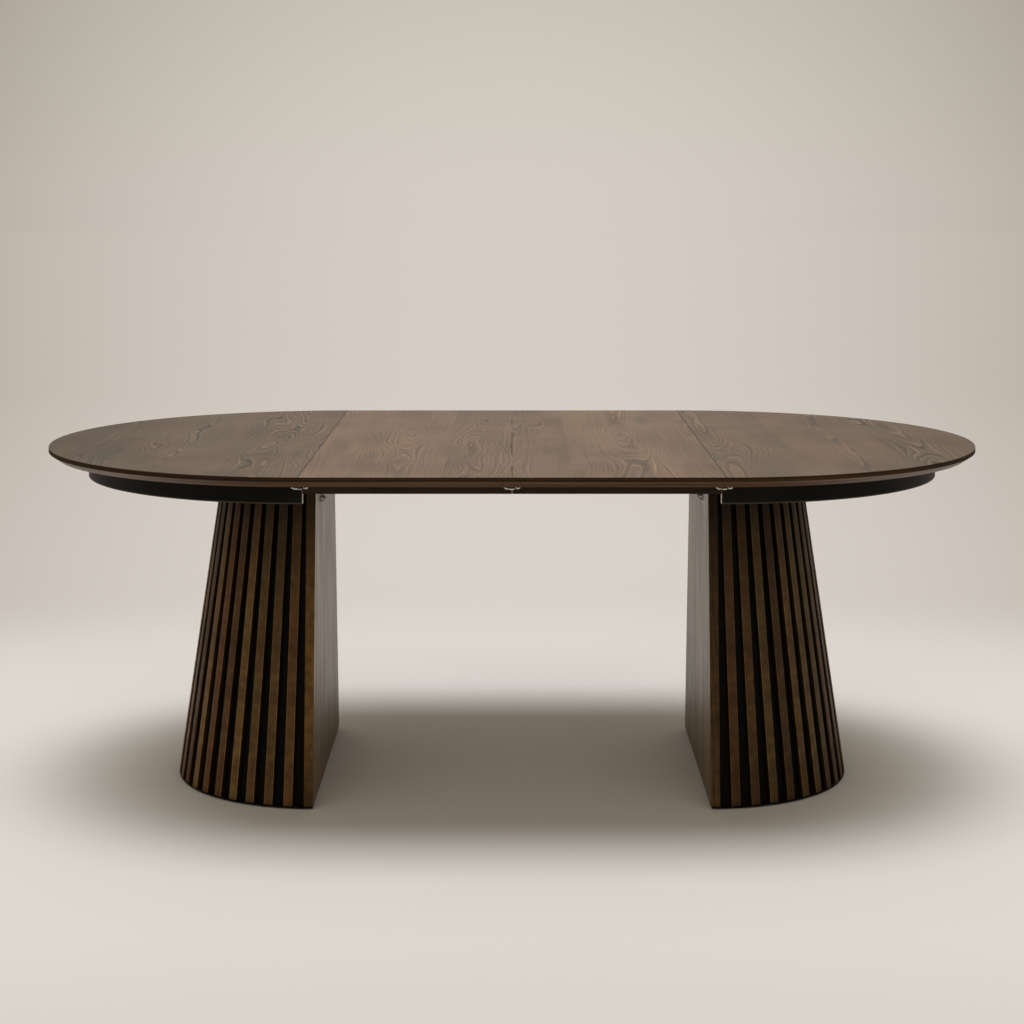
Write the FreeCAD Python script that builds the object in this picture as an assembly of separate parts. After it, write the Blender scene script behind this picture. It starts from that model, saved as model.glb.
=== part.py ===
"""Extending dining table: a round top on a two-part slatted cone base, shown pulled open with two leaves in.

Millimetres, +Z up. The origin is on the floor under the middle of the table, +X runs along its length
and -Y is the front. Each half of the table is a half-round top on its own half cone. The halves slide
towards each other on telescopic runners once the two loose leaves have been lifted out.
"""
import FreeCAD
import Part
import math
import os

from FreeCAD import Vector

# Main sizes
TABLE_HEIGHT = 765.0
TOP_DIAMETER = 1250.0
LEAF_WIDTH = 430.0

# Table top and its edge
TOP_THICKNESS = 23.0
EDGE_BAND_HEIGHT = 10.0
BEVEL_INSET = 19.0
EDGE_ARRIS = 0.8
SEAM_GAP = 0.4

# Apron under the half-round tops, and the battens that carry its line along the leaves
APRON_SETBACK = 88.0
APRON_THICKNESS = 20.0
APRON_HEIGHT = 45.0
APRON_END_GAP = 0.2
APRON_BLOCK_DEPTH = 24.0
APRON_BLOCK_WIDTH = 30.0
APRON_BLOCK_HEIGHT = 32.0
APRON_BLOCK_ANGLES = (-68.0, -22.0, 0.0, 22.0, 68.0)
BATTEN_THICKNESS = 18.0
BATTEN_HEIGHT = 24.0

# Half-cone base
BASE_FLOOR_RADIUS = 340.0
BASE_TAPER = 0.15
BASE_SETBACK = 1.0
BOARD_THICKNESS = 20.0
SLATS_PER_HALF = 22
SLAT_WIDTH = 20.4
SLAT_THICKNESS = 10.0
SLAT_ARRIS = 1.2
SLAT_FIRST_ANGLE = 9.4
SHELL_THICKNESS = 9.0
BASE_PLATE_THICKNESS = 18.0
FOOT_RIM_THICKNESS = 4.0
FOOT_RIM_INSET = 1.0
FORMER_THICKNESS = 12.0
FORMER_HEIGHT_SHARES = (0.36, 0.68)
MOUNT_PLATE_THICKNESS = 12.0
MOUNT_PLATE_END_MARGIN = 105.0
MOUNT_PLATE_SIDE_MARGIN = 25.0
GLUE_GAP = 0.3

# Floor glides
GLIDE_HEIGHT = 3.0
GLIDE_DIAMETER = 32.0
GLIDE_SHANK_DIAMETER = 5.0
GLIDE_SHANK_LENGTH = 14.0
GLIDE_EDGE_INSET = 26.0
GLIDE_ANGLES = (-80.0, -30.0, 30.0, 80.0)

# Runners: three timber members side by side, joined by tongues
RUNNER_THICKNESS = 22.0
RUNNER_HEIGHT = 41.7
RUNNER_LANE_GAP = 2.0
RUNNER_SIDE_CLEARANCE = 6.0
RUNNER_END_CLEARANCE = 16.0
RUNNER_TOP_GAP = 0.3
CENTRE_RUNNER_RAISE = 0.4
TONGUE_HEIGHT = 12.0
TONGUE_REACH = 7.0
TONGUE_DROP = 12.0
TONGUE_CLEARANCE = 0.4

# Belt that keeps the two halves in step
PULLEY_RADIUS = 11.5
PULLEY_WIDTH = 9.0
PULLEY_FLANGE = 0.8
PULLEY_END_INSET = 20.0
PULLEY_HEIGHT_IN_RUNNER = 9.0
AXLE_DIAMETER = 4.0
RUNNING_CLEARANCE = 0.05
BELT_THICKNESS = 1.0
BELT_WIDTH = 6.0
BELT_GAP = 0.1
POCKET_CLEARANCE = 2.0
CLAMP_LENGTH = 18.0
CLAMP_THICKNESS = 3.0
CLAMP_HEIGHT = 9.0
CLAMP_END_INSET = 45.0
STOP_PLATE_THICKNESS = 2.0
STOP_PLATE_LENGTH = 10.0
STOP_PLATE_REACH = 9.0
STOP_SCREW_DIAMETER = 5.0
STOP_SCREW_HEAD = 2.4
STOP_SCREW_DEPTH = 6.0
OVERPULL_MARGIN = 2.0

# Screws, driven upwards from below
SCREW_DIAMETER = 4.0
SCREW_HEAD_DIAMETER = 8.0
SCREW_HEAD_HEIGHT = 2.6
SCREW_BITE = 13.0
SCREW_CLEARANCE = 0.2
RUNNER_SCREWS_PER_RUNNER = 3
RUNNER_SCREW_SEAM_INSET = 40.0
RUNNER_SCREW_END_INSET = 45.0
PLATE_SCREW_EDGE_INSET = 12.0
PLATE_SCREW_END_INSET = 25.0

# Dowels across the seams
DOWEL_DIAMETER = 10.0
DOWEL_REACH = 12.0
DOWEL_BED = 16.0
DOWEL_CLEARANCE = 0.3
DOWEL_END_CHAMFER = 1.5
DOWEL_PLACE_SHARES = (-0.74, -0.25, 0.25, 0.74)

# Locating fittings on the flat faces of the base
FITTING_DROP = 84.0
FITTING_MIDDLE = 100.0
FITTING_OFFSET = 16.0
FITTING_PIN_DIAMETER = 16.0
FITTING_PIN_REACH = 11.0
FITTING_PIN_BED = 12.0
FITTING_PIN_CHAMFER = 5.0
FITTING_CUP_DIAMETER = 24.0
FITTING_CUP_DEPTH = 15.0
FITTING_CUP_CLEARANCE = 0.8
FITTING_BED_CLEARANCE = 0.1

# Leaf locks under each seam
LOCK_EDGE_DISTANCE = 40.0
LOCK_PLATE_LENGTH = 26.0
LOCK_PLATE_WIDTH = 14.0
LOCK_PLATE_THICKNESS = 1.5
LOCK_SEAM_INSET = 0.8
LOCK_PIVOT_INSET = 10.0
LOCK_POST_INSET = 8.5
LOCK_PIN_DIAMETER = 4.0
LOCK_PIN_HEAD_DIAMETER = 7.0
LOCK_PIN_HEAD_HEIGHT = 1.2
LOCK_LEVER_THICKNESS = 3.0
LOCK_LEVER_GAP = 1.2
LOCK_LEVER_WIDTH = 13.0
LOCK_LEVER_NOSE = 6.5
LOCK_POST_CLEARANCE = 0.4
LOCK_BORE_CLEARANCE = 0.08
LOCK_LIP_LENGTH = 34.0
LOCK_LIP_THICKNESS = 1.6
LOCK_LIP_DEPTH = 4.8
LOCK_LIP_END_DEPTH = 1.3

# One length past a face, for every cutting tool
OVERRUN = 5.0

# Derived places
HALF_TOP = TOP_DIAMETER / 2
UNDERSIDE = TABLE_HEIGHT - TOP_THICKNESS
APRON_RADIUS = HALF_TOP - APRON_SETBACK
APRON_INNER_RADIUS = APRON_RADIUS - APRON_THICKNESS
APRON_BOTTOM = UNDERSIDE - APRON_HEIGHT
BASE_TOP = UNDERSIDE - MOUNT_PLATE_THICKNESS
BASE_TOP_RADIUS = BASE_FLOOR_RADIUS - BASE_TAPER * BASE_TOP
BASE_PLANE = LEAF_WIDTH + BASE_SETBACK
BASE_FOOT = GLIDE_HEIGHT + FOOT_RIM_THICKNESS + GLUE_GAP
TAPER_LENGTH = math.hypot(1, BASE_TAPER)
SLAT_DEPTH = SLAT_THICKNESS * TAPER_LENGTH
SHELL_DEPTH = SHELL_THICKNESS * TAPER_LENGTH
SHELL_INSET = SLAT_DEPTH + GLUE_GAP / 2
PLATE_INSET = SHELL_INSET + SHELL_DEPTH + GLUE_GAP
MOUNT_PLATE_LENGTH = BASE_TOP_RADIUS + MOUNT_PLATE_END_MARGIN
MOUNT_PLATE_HALF_WIDTH = BASE_TOP_RADIUS + MOUNT_PLATE_SIDE_MARGIN
FITTING_HEIGHT = BASE_TOP - FITTING_DROP
RUNNER_INNER_FACE = MOUNT_PLATE_HALF_WIDTH + RUNNER_SIDE_CLEARANCE
RUNNER_OUTER_FACE = RUNNER_INNER_FACE + 3 * RUNNER_THICKNESS + 2 * RUNNER_LANE_GAP
RUNNER_LENGTH = 2 * (math.sqrt(APRON_INNER_RADIUS ** 2 - RUNNER_OUTER_FACE ** 2) - RUNNER_END_CLEARANCE)
RUNNER_TOP = UNDERSIDE - RUNNER_TOP_GAP
RUNNER_BOTTOM = RUNNER_TOP - RUNNER_HEIGHT
CENTRE_BOTTOM = RUNNER_BOTTOM + CENTRE_RUNNER_RAISE
LANE_PITCH = RUNNER_THICKNESS + RUNNER_LANE_GAP
CENTRE_LANE = RUNNER_INNER_FACE + LANE_PITCH + RUNNER_THICKNESS / 2
TONGUE_TOP = RUNNER_TOP - TONGUE_DROP
PULLEY_BOTTOM = RUNNER_BOTTOM + PULLEY_HEIGHT_IN_RUNNER - PULLEY_WIDTH / 2
PULLEY_PLACE = RUNNER_LENGTH / 2 - PULLEY_END_INSET
OVERPULL = 3 * DOWEL_REACH / 2 + OVERPULL_MARGIN
DOWEL_HEIGHT = TABLE_HEIGHT - TOP_THICKNESS / 2
LOCK_LINE = HALF_TOP - LOCK_EDGE_DISTANCE
LEVER_TOP = UNDERSIDE - LOCK_PLATE_THICKNESS - LOCK_LEVER_GAP
LEVER_BOTTOM = LEVER_TOP - LOCK_LEVER_THICKNESS

UP = Vector(0, 0, 1)
ORIGIN = Vector(0, 0, 0)
FRONT = -1
REAR = 1
SIDES = ((FRONT, "front"), (REAR, "rear"))


def box(x0, x1, y0, y1, z0, z1):
    """A block between two corners, given as low and high values in any order."""
    low = Vector(min(x0, x1), min(y0, y1), min(z0, z1))
    return Part.makeBox(abs(x1 - x0), abs(y1 - y0), abs(z1 - z0), low)


def rod(diameter, x, y, z0, z1):
    """An upright round bar."""
    return Part.makeCylinder(diameter / 2, z1 - z0, Vector(x, y, z0), UP)


def rod_along_x(diameter, x0, x1, y, z):
    """A level round bar along X."""
    start = Vector(min(x0, x1), y, z)
    return Part.makeCylinder(diameter / 2, abs(x1 - x0), start, Vector(1, 0, 0))


def prism(points, direction):
    """The polygon through points, swept along direction."""
    return Part.Face(Part.makePolygon(points + [points[0]])).extrude(direction)


def turned(shape):
    """A copy turned half a turn about the upright axis through the middle of the table."""
    copy = shape.copy()
    copy.rotate(ORIGIN, UP, 180)
    return copy


def cut_all(shape, tools):
    """The shape less every tool."""
    return shape.cut(Part.makeCompound(tools)) if tools else shape


def export(name, solids):
    """Writes one node from one or more separate solids."""
    shape = solids[0] if len(solids) == 1 else Part.makeCompound(solids)
    shape.exportStep(os.path.join("parts", name + ".step"))
    valid = all(s.isValid() for s in shape.Solids)
    print(f"{name:28s} solids {len(shape.Solids):3d} volume {shape.Volume:12.1f} valid {valid}")


def outer_radius(z):
    """Radius of the slats' outer faces at height z."""
    return BASE_FLOOR_RADIUS - BASE_TAPER * z


def edge_profile():
    """Cross-section of a top panel from its middle to its bevelled rim, as (reach, height) pairs."""
    return [
        (0, UNDERSIDE),
        (HALF_TOP - BEVEL_INSET, UNDERSIDE),
        (HALF_TOP, TABLE_HEIGHT - EDGE_BAND_HEIGHT),
        (HALF_TOP, TABLE_HEIGHT - EDGE_ARRIS),
        (HALF_TOP - EDGE_ARRIS, TABLE_HEIGHT),
        (0, TABLE_HEIGHT),
    ]


# Every half piece is modelled for the left half, whose round middle is at -LEAF_WIDTH.

def half_ring(radius_outer, radius_inner, z0, z1, gap):
    """A level half ring about the left half's middle, its ends stopping short of the seam by gap."""
    middle = Vector(-LEAF_WIDTH, 0, z0)
    ring = Part.makeCylinder(radius_outer, z1 - z0, middle, UP)
    ring = ring.cut(Part.makeCylinder(radius_inner, z1 - z0, middle, UP))
    keep = box(-LEAF_WIDTH - gap, -LEAF_WIDTH - radius_outer - OVERRUN,
               -radius_outer - OVERRUN, radius_outer + OVERRUN, z0, z1)
    return ring.common(keep)


def half_cone(inset, z0, z1, setback=BOARD_THICKNESS):
    """The half cone that lies inset behind the slats' outer faces and setback behind the flat face."""
    foot = outer_radius(z0) - inset
    head = outer_radius(z1) - inset
    cone = Part.makeCone(foot, head, z1 - z0, Vector(-BASE_PLANE, 0, z0), UP)
    back = -BASE_PLANE - setback
    keep = box(back, back - foot - OVERRUN, -foot - OVERRUN, foot + OVERRUN, z0, z1)
    return cone.common(keep)


def runner_screw_places():
    """(distance outwards from the seam) of the screws along one runner."""
    first = RUNNER_SCREW_SEAM_INSET
    last = RUNNER_LENGTH / 2 - RUNNER_SCREW_END_INSET
    step = (last - first) / (RUNNER_SCREWS_PER_RUNNER - 1)
    return [first + i * step for i in range(RUNNER_SCREWS_PER_RUNNER)]


def lane_face(lane):
    """Distance from the table's middle line to the inner face of a lane: 0 inner, 1 centre, 2 outer."""
    return RUNNER_INNER_FACE + lane * LANE_PITCH


def left_lane(side):
    """The left half's front runner takes the outer lane and its rear runner the inner one."""
    return 2 if side == FRONT else 0


def left_screw_places():
    """(x, y, height of the head's underside) of each screw into the left half's underside."""
    places = []
    for side, _ in SIDES:
        y = side * (lane_face(left_lane(side)) + RUNNER_THICKNESS / 2)
        for reach in runner_screw_places():
            places.append((-LEAF_WIDTH - reach, y, RUNNER_BOTTOM))
    plate_rows = (
        (PLATE_SCREW_END_INSET, MOUNT_PLATE_HALF_WIDTH - PLATE_SCREW_EDGE_INSET),
        (MOUNT_PLATE_LENGTH - PLATE_SCREW_END_INSET, MOUNT_PLATE_HALF_WIDTH / 2),
        (MOUNT_PLATE_LENGTH / 2, MOUNT_PLATE_HALF_WIDTH - PLATE_SCREW_EDGE_INSET),
    )
    for reach, offset in plate_rows:
        for side, _ in SIDES:
            places.append((-BASE_PLANE - reach, side * offset, BASE_TOP))
    return places


def screw(x, y, seat):
    """A wood screw whose head is sunk flush with the face at height seat."""
    neck = seat + SCREW_HEAD_HEIGHT
    head = Part.makeCone(SCREW_HEAD_DIAMETER / 2, SCREW_DIAMETER / 2, SCREW_HEAD_HEIGHT,
                         Vector(x, y, seat), UP)
    return head.fuse(rod(SCREW_DIAMETER, x, y, neck, UNDERSIDE + SCREW_BITE)).removeSplitter()


def screw_hole(x, y, seat):
    """The hole for one such screw, through the piece below and into the panel."""
    wide = SCREW_CLEARANCE
    neck = seat + SCREW_HEAD_HEIGHT
    sink = Part.makeCone(SCREW_HEAD_DIAMETER / 2 + wide, SCREW_DIAMETER / 2 + wide, SCREW_HEAD_HEIGHT,
                         Vector(x, y, seat), UP)
    mouth = rod(SCREW_HEAD_DIAMETER + 2 * wide, x, y, seat - OVERRUN, seat)
    shank = rod(SCREW_DIAMETER + 2 * wide, x, y, neck, UNDERSIDE + SCREW_BITE + wide)
    return sink.fuse([mouth, shank])


def dowel_places():
    return [share * HALF_TOP for share in DOWEL_PLACE_SHARES]


def dowel_holes(seam, toward):
    """Holes that open at a seam and run away from it, toward being +1 or -1 along X."""
    size = DOWEL_DIAMETER + 2 * DOWEL_CLEARANCE
    deep = toward * (DOWEL_REACH + 2 * DOWEL_CLEARANCE)
    return [rod_along_x(size, seam - toward * OVERRUN, seam + deep, y, DOWEL_HEIGHT) for y in dowel_places()]


def dowel_beds(seam, toward):
    """The glued holes that hold the dowels of the piece on the other side."""
    return [rod_along_x(DOWEL_DIAMETER, seam - toward * OVERRUN, seam + toward * DOWEL_BED, y, DOWEL_HEIGHT)
            for y in dowel_places()]


def dowels(seam, toward):
    """Dowels bedded on the toward side of a seam that stand out on the other side."""
    made = []
    for y in dowel_places():
        pin = rod_along_x(DOWEL_DIAMETER, seam - toward * DOWEL_REACH, seam + toward * DOWEL_BED, y,
                          DOWEL_HEIGHT)
        tip = seam - toward * DOWEL_REACH
        edges = [e for e in pin.Edges if abs(e.CenterOfMass.x - tip) < DOWEL_END_CHAMFER and e.Closed]
        made.append(pin.makeChamfer(DOWEL_END_CHAMFER, edges))
    return made


def half_panel():
    """The half-round top, bevelled underneath all round its rim."""
    points = [Vector(-LEAF_WIDTH + reach, 0, z) for reach, z in edge_profile()]
    face = Part.Face(Part.makePolygon(points + [points[0]]))
    disc = face.revolve(Vector(-LEAF_WIDTH, 0, 0), UP, 360)
    keep = box(-LEAF_WIDTH - SEAM_GAP / 2, -LEAF_WIDTH - HALF_TOP - OVERRUN,
               -HALF_TOP - OVERRUN, HALF_TOP + OVERRUN, UNDERSIDE, TABLE_HEIGHT)
    return disc.common(keep)


def leaf_panel(x0, x1):
    """A straight leaf whose front and rear edges carry the same bevel."""
    half = edge_profile()[1:-1]
    points = [Vector(x0, -reach, z) for reach, z in half]
    points += [Vector(x0, reach, z) for reach, z in reversed(half)]
    return prism(points, Vector(x1 - x0, 0, 0))


def apron_blocks():
    """Glue blocks in the corner between the apron and the top."""
    reach = math.sqrt(APRON_INNER_RADIUS ** 2 - (APRON_BLOCK_WIDTH / 2) ** 2) - GLUE_GAP / 2
    made = []
    for angle in APRON_BLOCK_ANGLES:
        block = box(-reach, -reach + APRON_BLOCK_DEPTH, -APRON_BLOCK_WIDTH / 2, APRON_BLOCK_WIDTH / 2,
                    UNDERSIDE - APRON_BLOCK_HEIGHT, UNDERSIDE)
        block.rotate(ORIGIN, UP, angle)
        block.translate(Vector(-LEAF_WIDTH, 0, 0))
        made.append(block)
    return made


def inner_board(side):
    """The flat board on the half cone's open side, with the beds of its fittings on one side of the middle."""
    foot = outer_radius(BASE_FOOT)
    head = outer_radius(BASE_TOP)
    x = -BASE_PLANE - BOARD_THICKNESS
    points = [Vector(x, -foot, BASE_FOOT), Vector(x, foot, BASE_FOOT),
              Vector(x, head, BASE_TOP), Vector(x, -head, BASE_TOP)]
    board = prism(points, Vector(BOARD_THICKNESS, 0, 0))
    wide = 2 * FITTING_BED_CLEARANCE
    middle = side * FITTING_MIDDLE
    pin_bed = rod_along_x(FITTING_PIN_DIAMETER + wide, -BASE_PLANE + OVERRUN,
                          -BASE_PLANE - FITTING_PIN_BED, middle - FITTING_OFFSET, FITTING_HEIGHT)
    cup_bed = rod_along_x(FITTING_CUP_DIAMETER + wide, -BASE_PLANE + OVERRUN,
                          -BASE_PLANE - FITTING_CUP_DEPTH, middle + FITTING_OFFSET, FITTING_HEIGHT)
    return cut_all(board, [pin_bed, cup_bed])


def locating_fittings(side):
    """A pin that stands out of the flat face, and the cup that takes the other half's pin."""
    tip = -BASE_PLANE + FITTING_PIN_REACH
    pin_place = side * FITTING_MIDDLE - FITTING_OFFSET
    cup_place = side * FITTING_MIDDLE + FITTING_OFFSET
    pin = rod_along_x(FITTING_PIN_DIAMETER, -BASE_PLANE - FITTING_PIN_BED, tip, pin_place, FITTING_HEIGHT)
    edges = [e for e in pin.Edges if abs(e.CenterOfMass.x - tip) < FITTING_PIN_CHAMFER and e.Closed]
    pin = pin.makeChamfer(FITTING_PIN_CHAMFER, edges)
    floor = -BASE_PLANE - FITTING_CUP_DEPTH
    cup = rod_along_x(FITTING_CUP_DIAMETER, floor, -BASE_PLANE, cup_place, FITTING_HEIGHT)
    bore = FITTING_PIN_DIAMETER + 2 * FITTING_CUP_CLEARANCE
    depth = FITTING_PIN_REACH + FITTING_CUP_CLEARANCE
    cup = cup.cut(rod_along_x(bore, -BASE_PLANE - depth, -BASE_PLANE + OVERRUN, cup_place, FITTING_HEIGHT))
    return [pin, cup]


def slats():
    """Straight battens round the half cone, each leaning in along the cone's side."""
    pitch = (180 - 2 * SLAT_FIRST_ANGLE) / (SLATS_PER_HALF - 1)
    rise = BASE_TOP - BASE_FOOT
    half = SLAT_WIDTH / 2
    made = []
    for i in range(SLATS_PER_HALF):
        angle = math.radians(SLAT_FIRST_ANGLE + i * pitch)
        outward = Vector(-math.sin(angle), -math.cos(angle), 0)
        across = Vector(-math.cos(angle), math.sin(angle), 0)
        face = outer_radius(BASE_FOOT)
        section = ((face - SLAT_DEPTH, -half), (face - SLAT_DEPTH, half), (face - SLAT_ARRIS, half),
                   (face, half - SLAT_ARRIS), (face, SLAT_ARRIS - half), (face - SLAT_ARRIS, -half))
        foot = Vector(-BASE_PLANE, 0, BASE_FOOT)
        points = [foot + outward * r + across * t for r, t in section]
        made.append(prism(points, outward * (-BASE_TAPER * rise) + UP * rise))
    return made


def cone_shell():
    """The bent shell that the slats are glued to."""
    outer = half_cone(SHELL_INSET, BASE_FOOT, BASE_TOP)
    return outer.cut(half_cone(SHELL_INSET + SHELL_DEPTH, BASE_FOOT, BASE_TOP))


def inside_plate(z0, z1):
    """A level half-round plate that fits inside the shell."""
    return half_cone(PLATE_INSET, z0, z1)


def glide_places():
    """(x, y) of the left half's floor glides, near the rim of the bottom plate."""
    reach = outer_radius(GLIDE_HEIGHT) - PLATE_INSET - GLIDE_EDGE_INSET
    back = BOARD_THICKNESS + GLIDE_DIAMETER / 2
    places = []
    for angle in GLIDE_ANGLES:
        a = math.radians(angle)
        places.append((-BASE_PLANE - max(reach * math.cos(a), back), reach * math.sin(a)))
    return places


def bottom_plate():
    """The plate in the foot of the shell, with a thin rim that reaches out under the slats and the board."""
    plate = inside_plate(GLIDE_HEIGHT, GLIDE_HEIGHT + BASE_PLATE_THICKNESS)
    rim = half_cone(FOOT_RIM_INSET, GLIDE_HEIGHT, GLIDE_HEIGHT + FOOT_RIM_THICKNESS, FOOT_RIM_INSET)
    plate = plate.fuse(rim).removeSplitter()
    size = GLIDE_SHANK_DIAMETER + 2 * FITTING_BED_CLEARANCE
    top = GLIDE_HEIGHT + GLIDE_SHANK_LENGTH
    return cut_all(plate, [rod(size, x, y, GLIDE_HEIGHT - OVERRUN, top) for x, y in glide_places()])


def glides():
    made = []
    for x, y in glide_places():
        pad = rod(GLIDE_DIAMETER, x, y, 0, GLIDE_HEIGHT)
        shank = rod(GLIDE_SHANK_DIAMETER, x, y, GLIDE_HEIGHT, GLIDE_HEIGHT + GLIDE_SHANK_LENGTH)
        made.append(pad.fuse(shank).removeSplitter())
    return made


def mount_plate():
    """The board on top of the cone that is screwed up into the half-round top."""
    return box(-BASE_PLANE, -BASE_PLANE - MOUNT_PLATE_LENGTH, -MOUNT_PLATE_HALF_WIDTH,
               MOUNT_PLATE_HALF_WIDTH, BASE_TOP, UNDERSIDE)


def clamp_block(side, grow):
    """The block in a left runner's face that holds the belt, or with grow the pocket for it."""
    away = 1 if left_lane(side) == 2 else -1
    belt_face = CENTRE_LANE + away * (PULLEY_RADIUS + BELT_THICKNESS + BELT_GAP)
    mouth = belt_face - away * (OVERRUN if grow else 0)
    floor = belt_face + away * (CLAMP_THICKNESS + grow)
    middle_x = -LEAF_WIDTH + RUNNER_LENGTH / 2 - CLAMP_END_INSET
    middle_z = PULLEY_BOTTOM + PULLEY_WIDTH / 2
    return box(middle_x - CLAMP_LENGTH / 2 - grow, middle_x + CLAMP_LENGTH / 2 + grow, side * mouth,
               side * floor, middle_z - CLAMP_HEIGHT / 2 - grow, middle_z + CLAMP_HEIGHT / 2 + grow)


def moving_runner(side):
    """One of the left half's runners, with the groove that rides on the centre runner's tongue."""
    lane = left_lane(side)
    inner = lane_face(lane)
    outer = inner + RUNNER_THICKNESS
    x0 = -LEAF_WIDTH - RUNNER_LENGTH / 2
    bar = box(x0, x0 + RUNNER_LENGTH, side * inner, side * outer, RUNNER_BOTTOM, RUNNER_TOP)
    depth = TONGUE_REACH + TONGUE_CLEARANCE
    if lane == 2:
        mouth, floor = inner - OVERRUN, inner + depth
    else:
        mouth, floor = outer + OVERRUN, outer - depth
    groove = box(x0 - OVERRUN, x0 + RUNNER_LENGTH + OVERRUN, side * mouth, side * floor,
                 TONGUE_TOP - TONGUE_HEIGHT - TONGUE_CLEARANCE, TONGUE_TOP + TONGUE_CLEARANCE)
    return cut_all(bar, [groove, clamp_block(side, GLUE_GAP)])


def centre_runner(side):
    """The middle member: tongues on both faces, and pockets for the belt pulleys near its ends."""
    inner = lane_face(1)
    outer = inner + RUNNER_THICKNESS
    half = RUNNER_LENGTH / 2
    bar = box(-half, half, side * inner, side * outer, CENTRE_BOTTOM, RUNNER_TOP)
    spread = RUNNER_LANE_GAP + TONGUE_REACH
    tongue = box(-half, half, side * (inner - spread), side * (outer + spread),
                 TONGUE_TOP - TONGUE_HEIGHT, TONGUE_TOP)
    bar = bar.fuse(tongue).removeSplitter()
    tools = []
    for x in (-PULLEY_PLACE, PULLEY_PLACE):
        reach = PULLEY_RADIUS + BELT_THICKNESS + POCKET_CLEARANCE
        tools.append(box(x - reach, x + reach, side * (inner - OVERRUN), side * (outer + OVERRUN),
                         PULLEY_BOTTOM - PULLEY_FLANGE, PULLEY_BOTTOM + PULLEY_WIDTH + PULLEY_FLANGE))
        tools.append(rod(AXLE_DIAMETER, x, side * CENTRE_LANE, CENTRE_BOTTOM - OVERRUN,
                         PULLEY_BOTTOM + PULLEY_WIDTH + PULLEY_HEIGHT_IN_RUNNER))
    for x, y in stop_screw_places(side):
        tools.append(rod(STOP_SCREW_DIAMETER / 2, x, y, CENTRE_BOTTOM - OVERRUN,
                         CENTRE_BOTTOM + STOP_SCREW_DEPTH))
    return cut_all(bar, tools)


def stop_screw_places(side):
    """(x, y) of the screws under one centre runner that end the pull of each half.

    The halves pull OVERPULL further than the leaves need, so that the dowels of the three seams come free.
    """
    end = RUNNER_LENGTH / 2 - LEAF_WIDTH
    reach = STOP_PLATE_LENGTH + STOP_SCREW_DIAMETER / 2 + OVERPULL
    offset = RUNNER_THICKNESS / 2 - STOP_PLATE_REACH / 2
    outer = side * (CENTRE_LANE + offset)
    inner = side * (CENTRE_LANE - offset)
    left_y = outer if left_lane(side) == 2 else inner
    right_y = inner if left_lane(side) == 2 else outer
    return [(end - reach, left_y), (-end + reach, right_y)]


def stop_screws(side):
    made = []
    for x, y in stop_screw_places(side):
        head = rod(STOP_SCREW_DIAMETER, x, y, CENTRE_BOTTOM - STOP_SCREW_HEAD, CENTRE_BOTTOM)
        shank = rod(STOP_SCREW_DIAMETER / 2, x, y, CENTRE_BOTTOM, CENTRE_BOTTOM + STOP_SCREW_DEPTH)
        made.append(head.fuse(shank).removeSplitter())
    return made


def stop_plate(side):
    """A steel strip under the end of a left runner that meets the stop screw at full pull."""
    lane = left_lane(side)
    inner = lane_face(lane)
    outer = inner + RUNNER_THICKNESS
    reach = RUNNER_LANE_GAP + STOP_PLATE_REACH
    low, high = (inner - reach, outer) if lane == 2 else (inner, outer + reach)
    end = -LEAF_WIDTH + RUNNER_LENGTH / 2
    return box(end - STOP_PLATE_LENGTH, end, side * low, side * high,
               RUNNER_BOTTOM - STOP_PLATE_THICKNESS, RUNNER_BOTTOM)


def pulley(x, side):
    """A plain belt wheel with a bore that runs on its axle."""
    y = side * CENTRE_LANE
    wheel = rod(2 * PULLEY_RADIUS, x, y, PULLEY_BOTTOM, PULLEY_BOTTOM + PULLEY_WIDTH)
    bore = rod(AXLE_DIAMETER + 2 * RUNNING_CLEARANCE, x, y, PULLEY_BOTTOM - OVERRUN,
               PULLEY_BOTTOM + PULLEY_WIDTH + OVERRUN)
    mark = rod(AXLE_DIAMETER, x + (PULLEY_RADIUS + AXLE_DIAMETER / 2) / 2, y,
               PULLEY_BOTTOM - OVERRUN, PULLEY_BOTTOM + PULLEY_WIDTH + OVERRUN)
    return cut_all(wheel, [bore, mark])


def pulley_axle(x, side):
    return rod(AXLE_DIAMETER, x, side * CENTRE_LANE, CENTRE_BOTTOM,
               PULLEY_BOTTOM + PULLEY_WIDTH + PULLEY_HEIGHT_IN_RUNNER)


def belt(side):
    """A closed flat belt round the two pulleys of one centre runner."""
    z0 = PULLEY_BOTTOM + (PULLEY_WIDTH - BELT_WIDTH) / 2
    y = side * CENTRE_LANE

    def loop(radius, low, high):
        ends = [rod(2 * radius, x, y, low, high) for x in (-PULLEY_PLACE, PULLEY_PLACE)]
        run = box(-PULLEY_PLACE, PULLEY_PLACE, y - radius, y + radius, low, high)
        return run.fuse(ends).removeSplitter()

    inside = PULLEY_RADIUS + RUNNING_CLEARANCE
    return loop(PULLEY_RADIUS + BELT_THICKNESS, z0, z0 + BELT_WIDTH).cut(
        loop(inside, z0 - OVERRUN, z0 + BELT_WIDTH + OVERRUN))


# The locks are modelled at a seam through the middle of the table and moved to their own seams.

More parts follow.
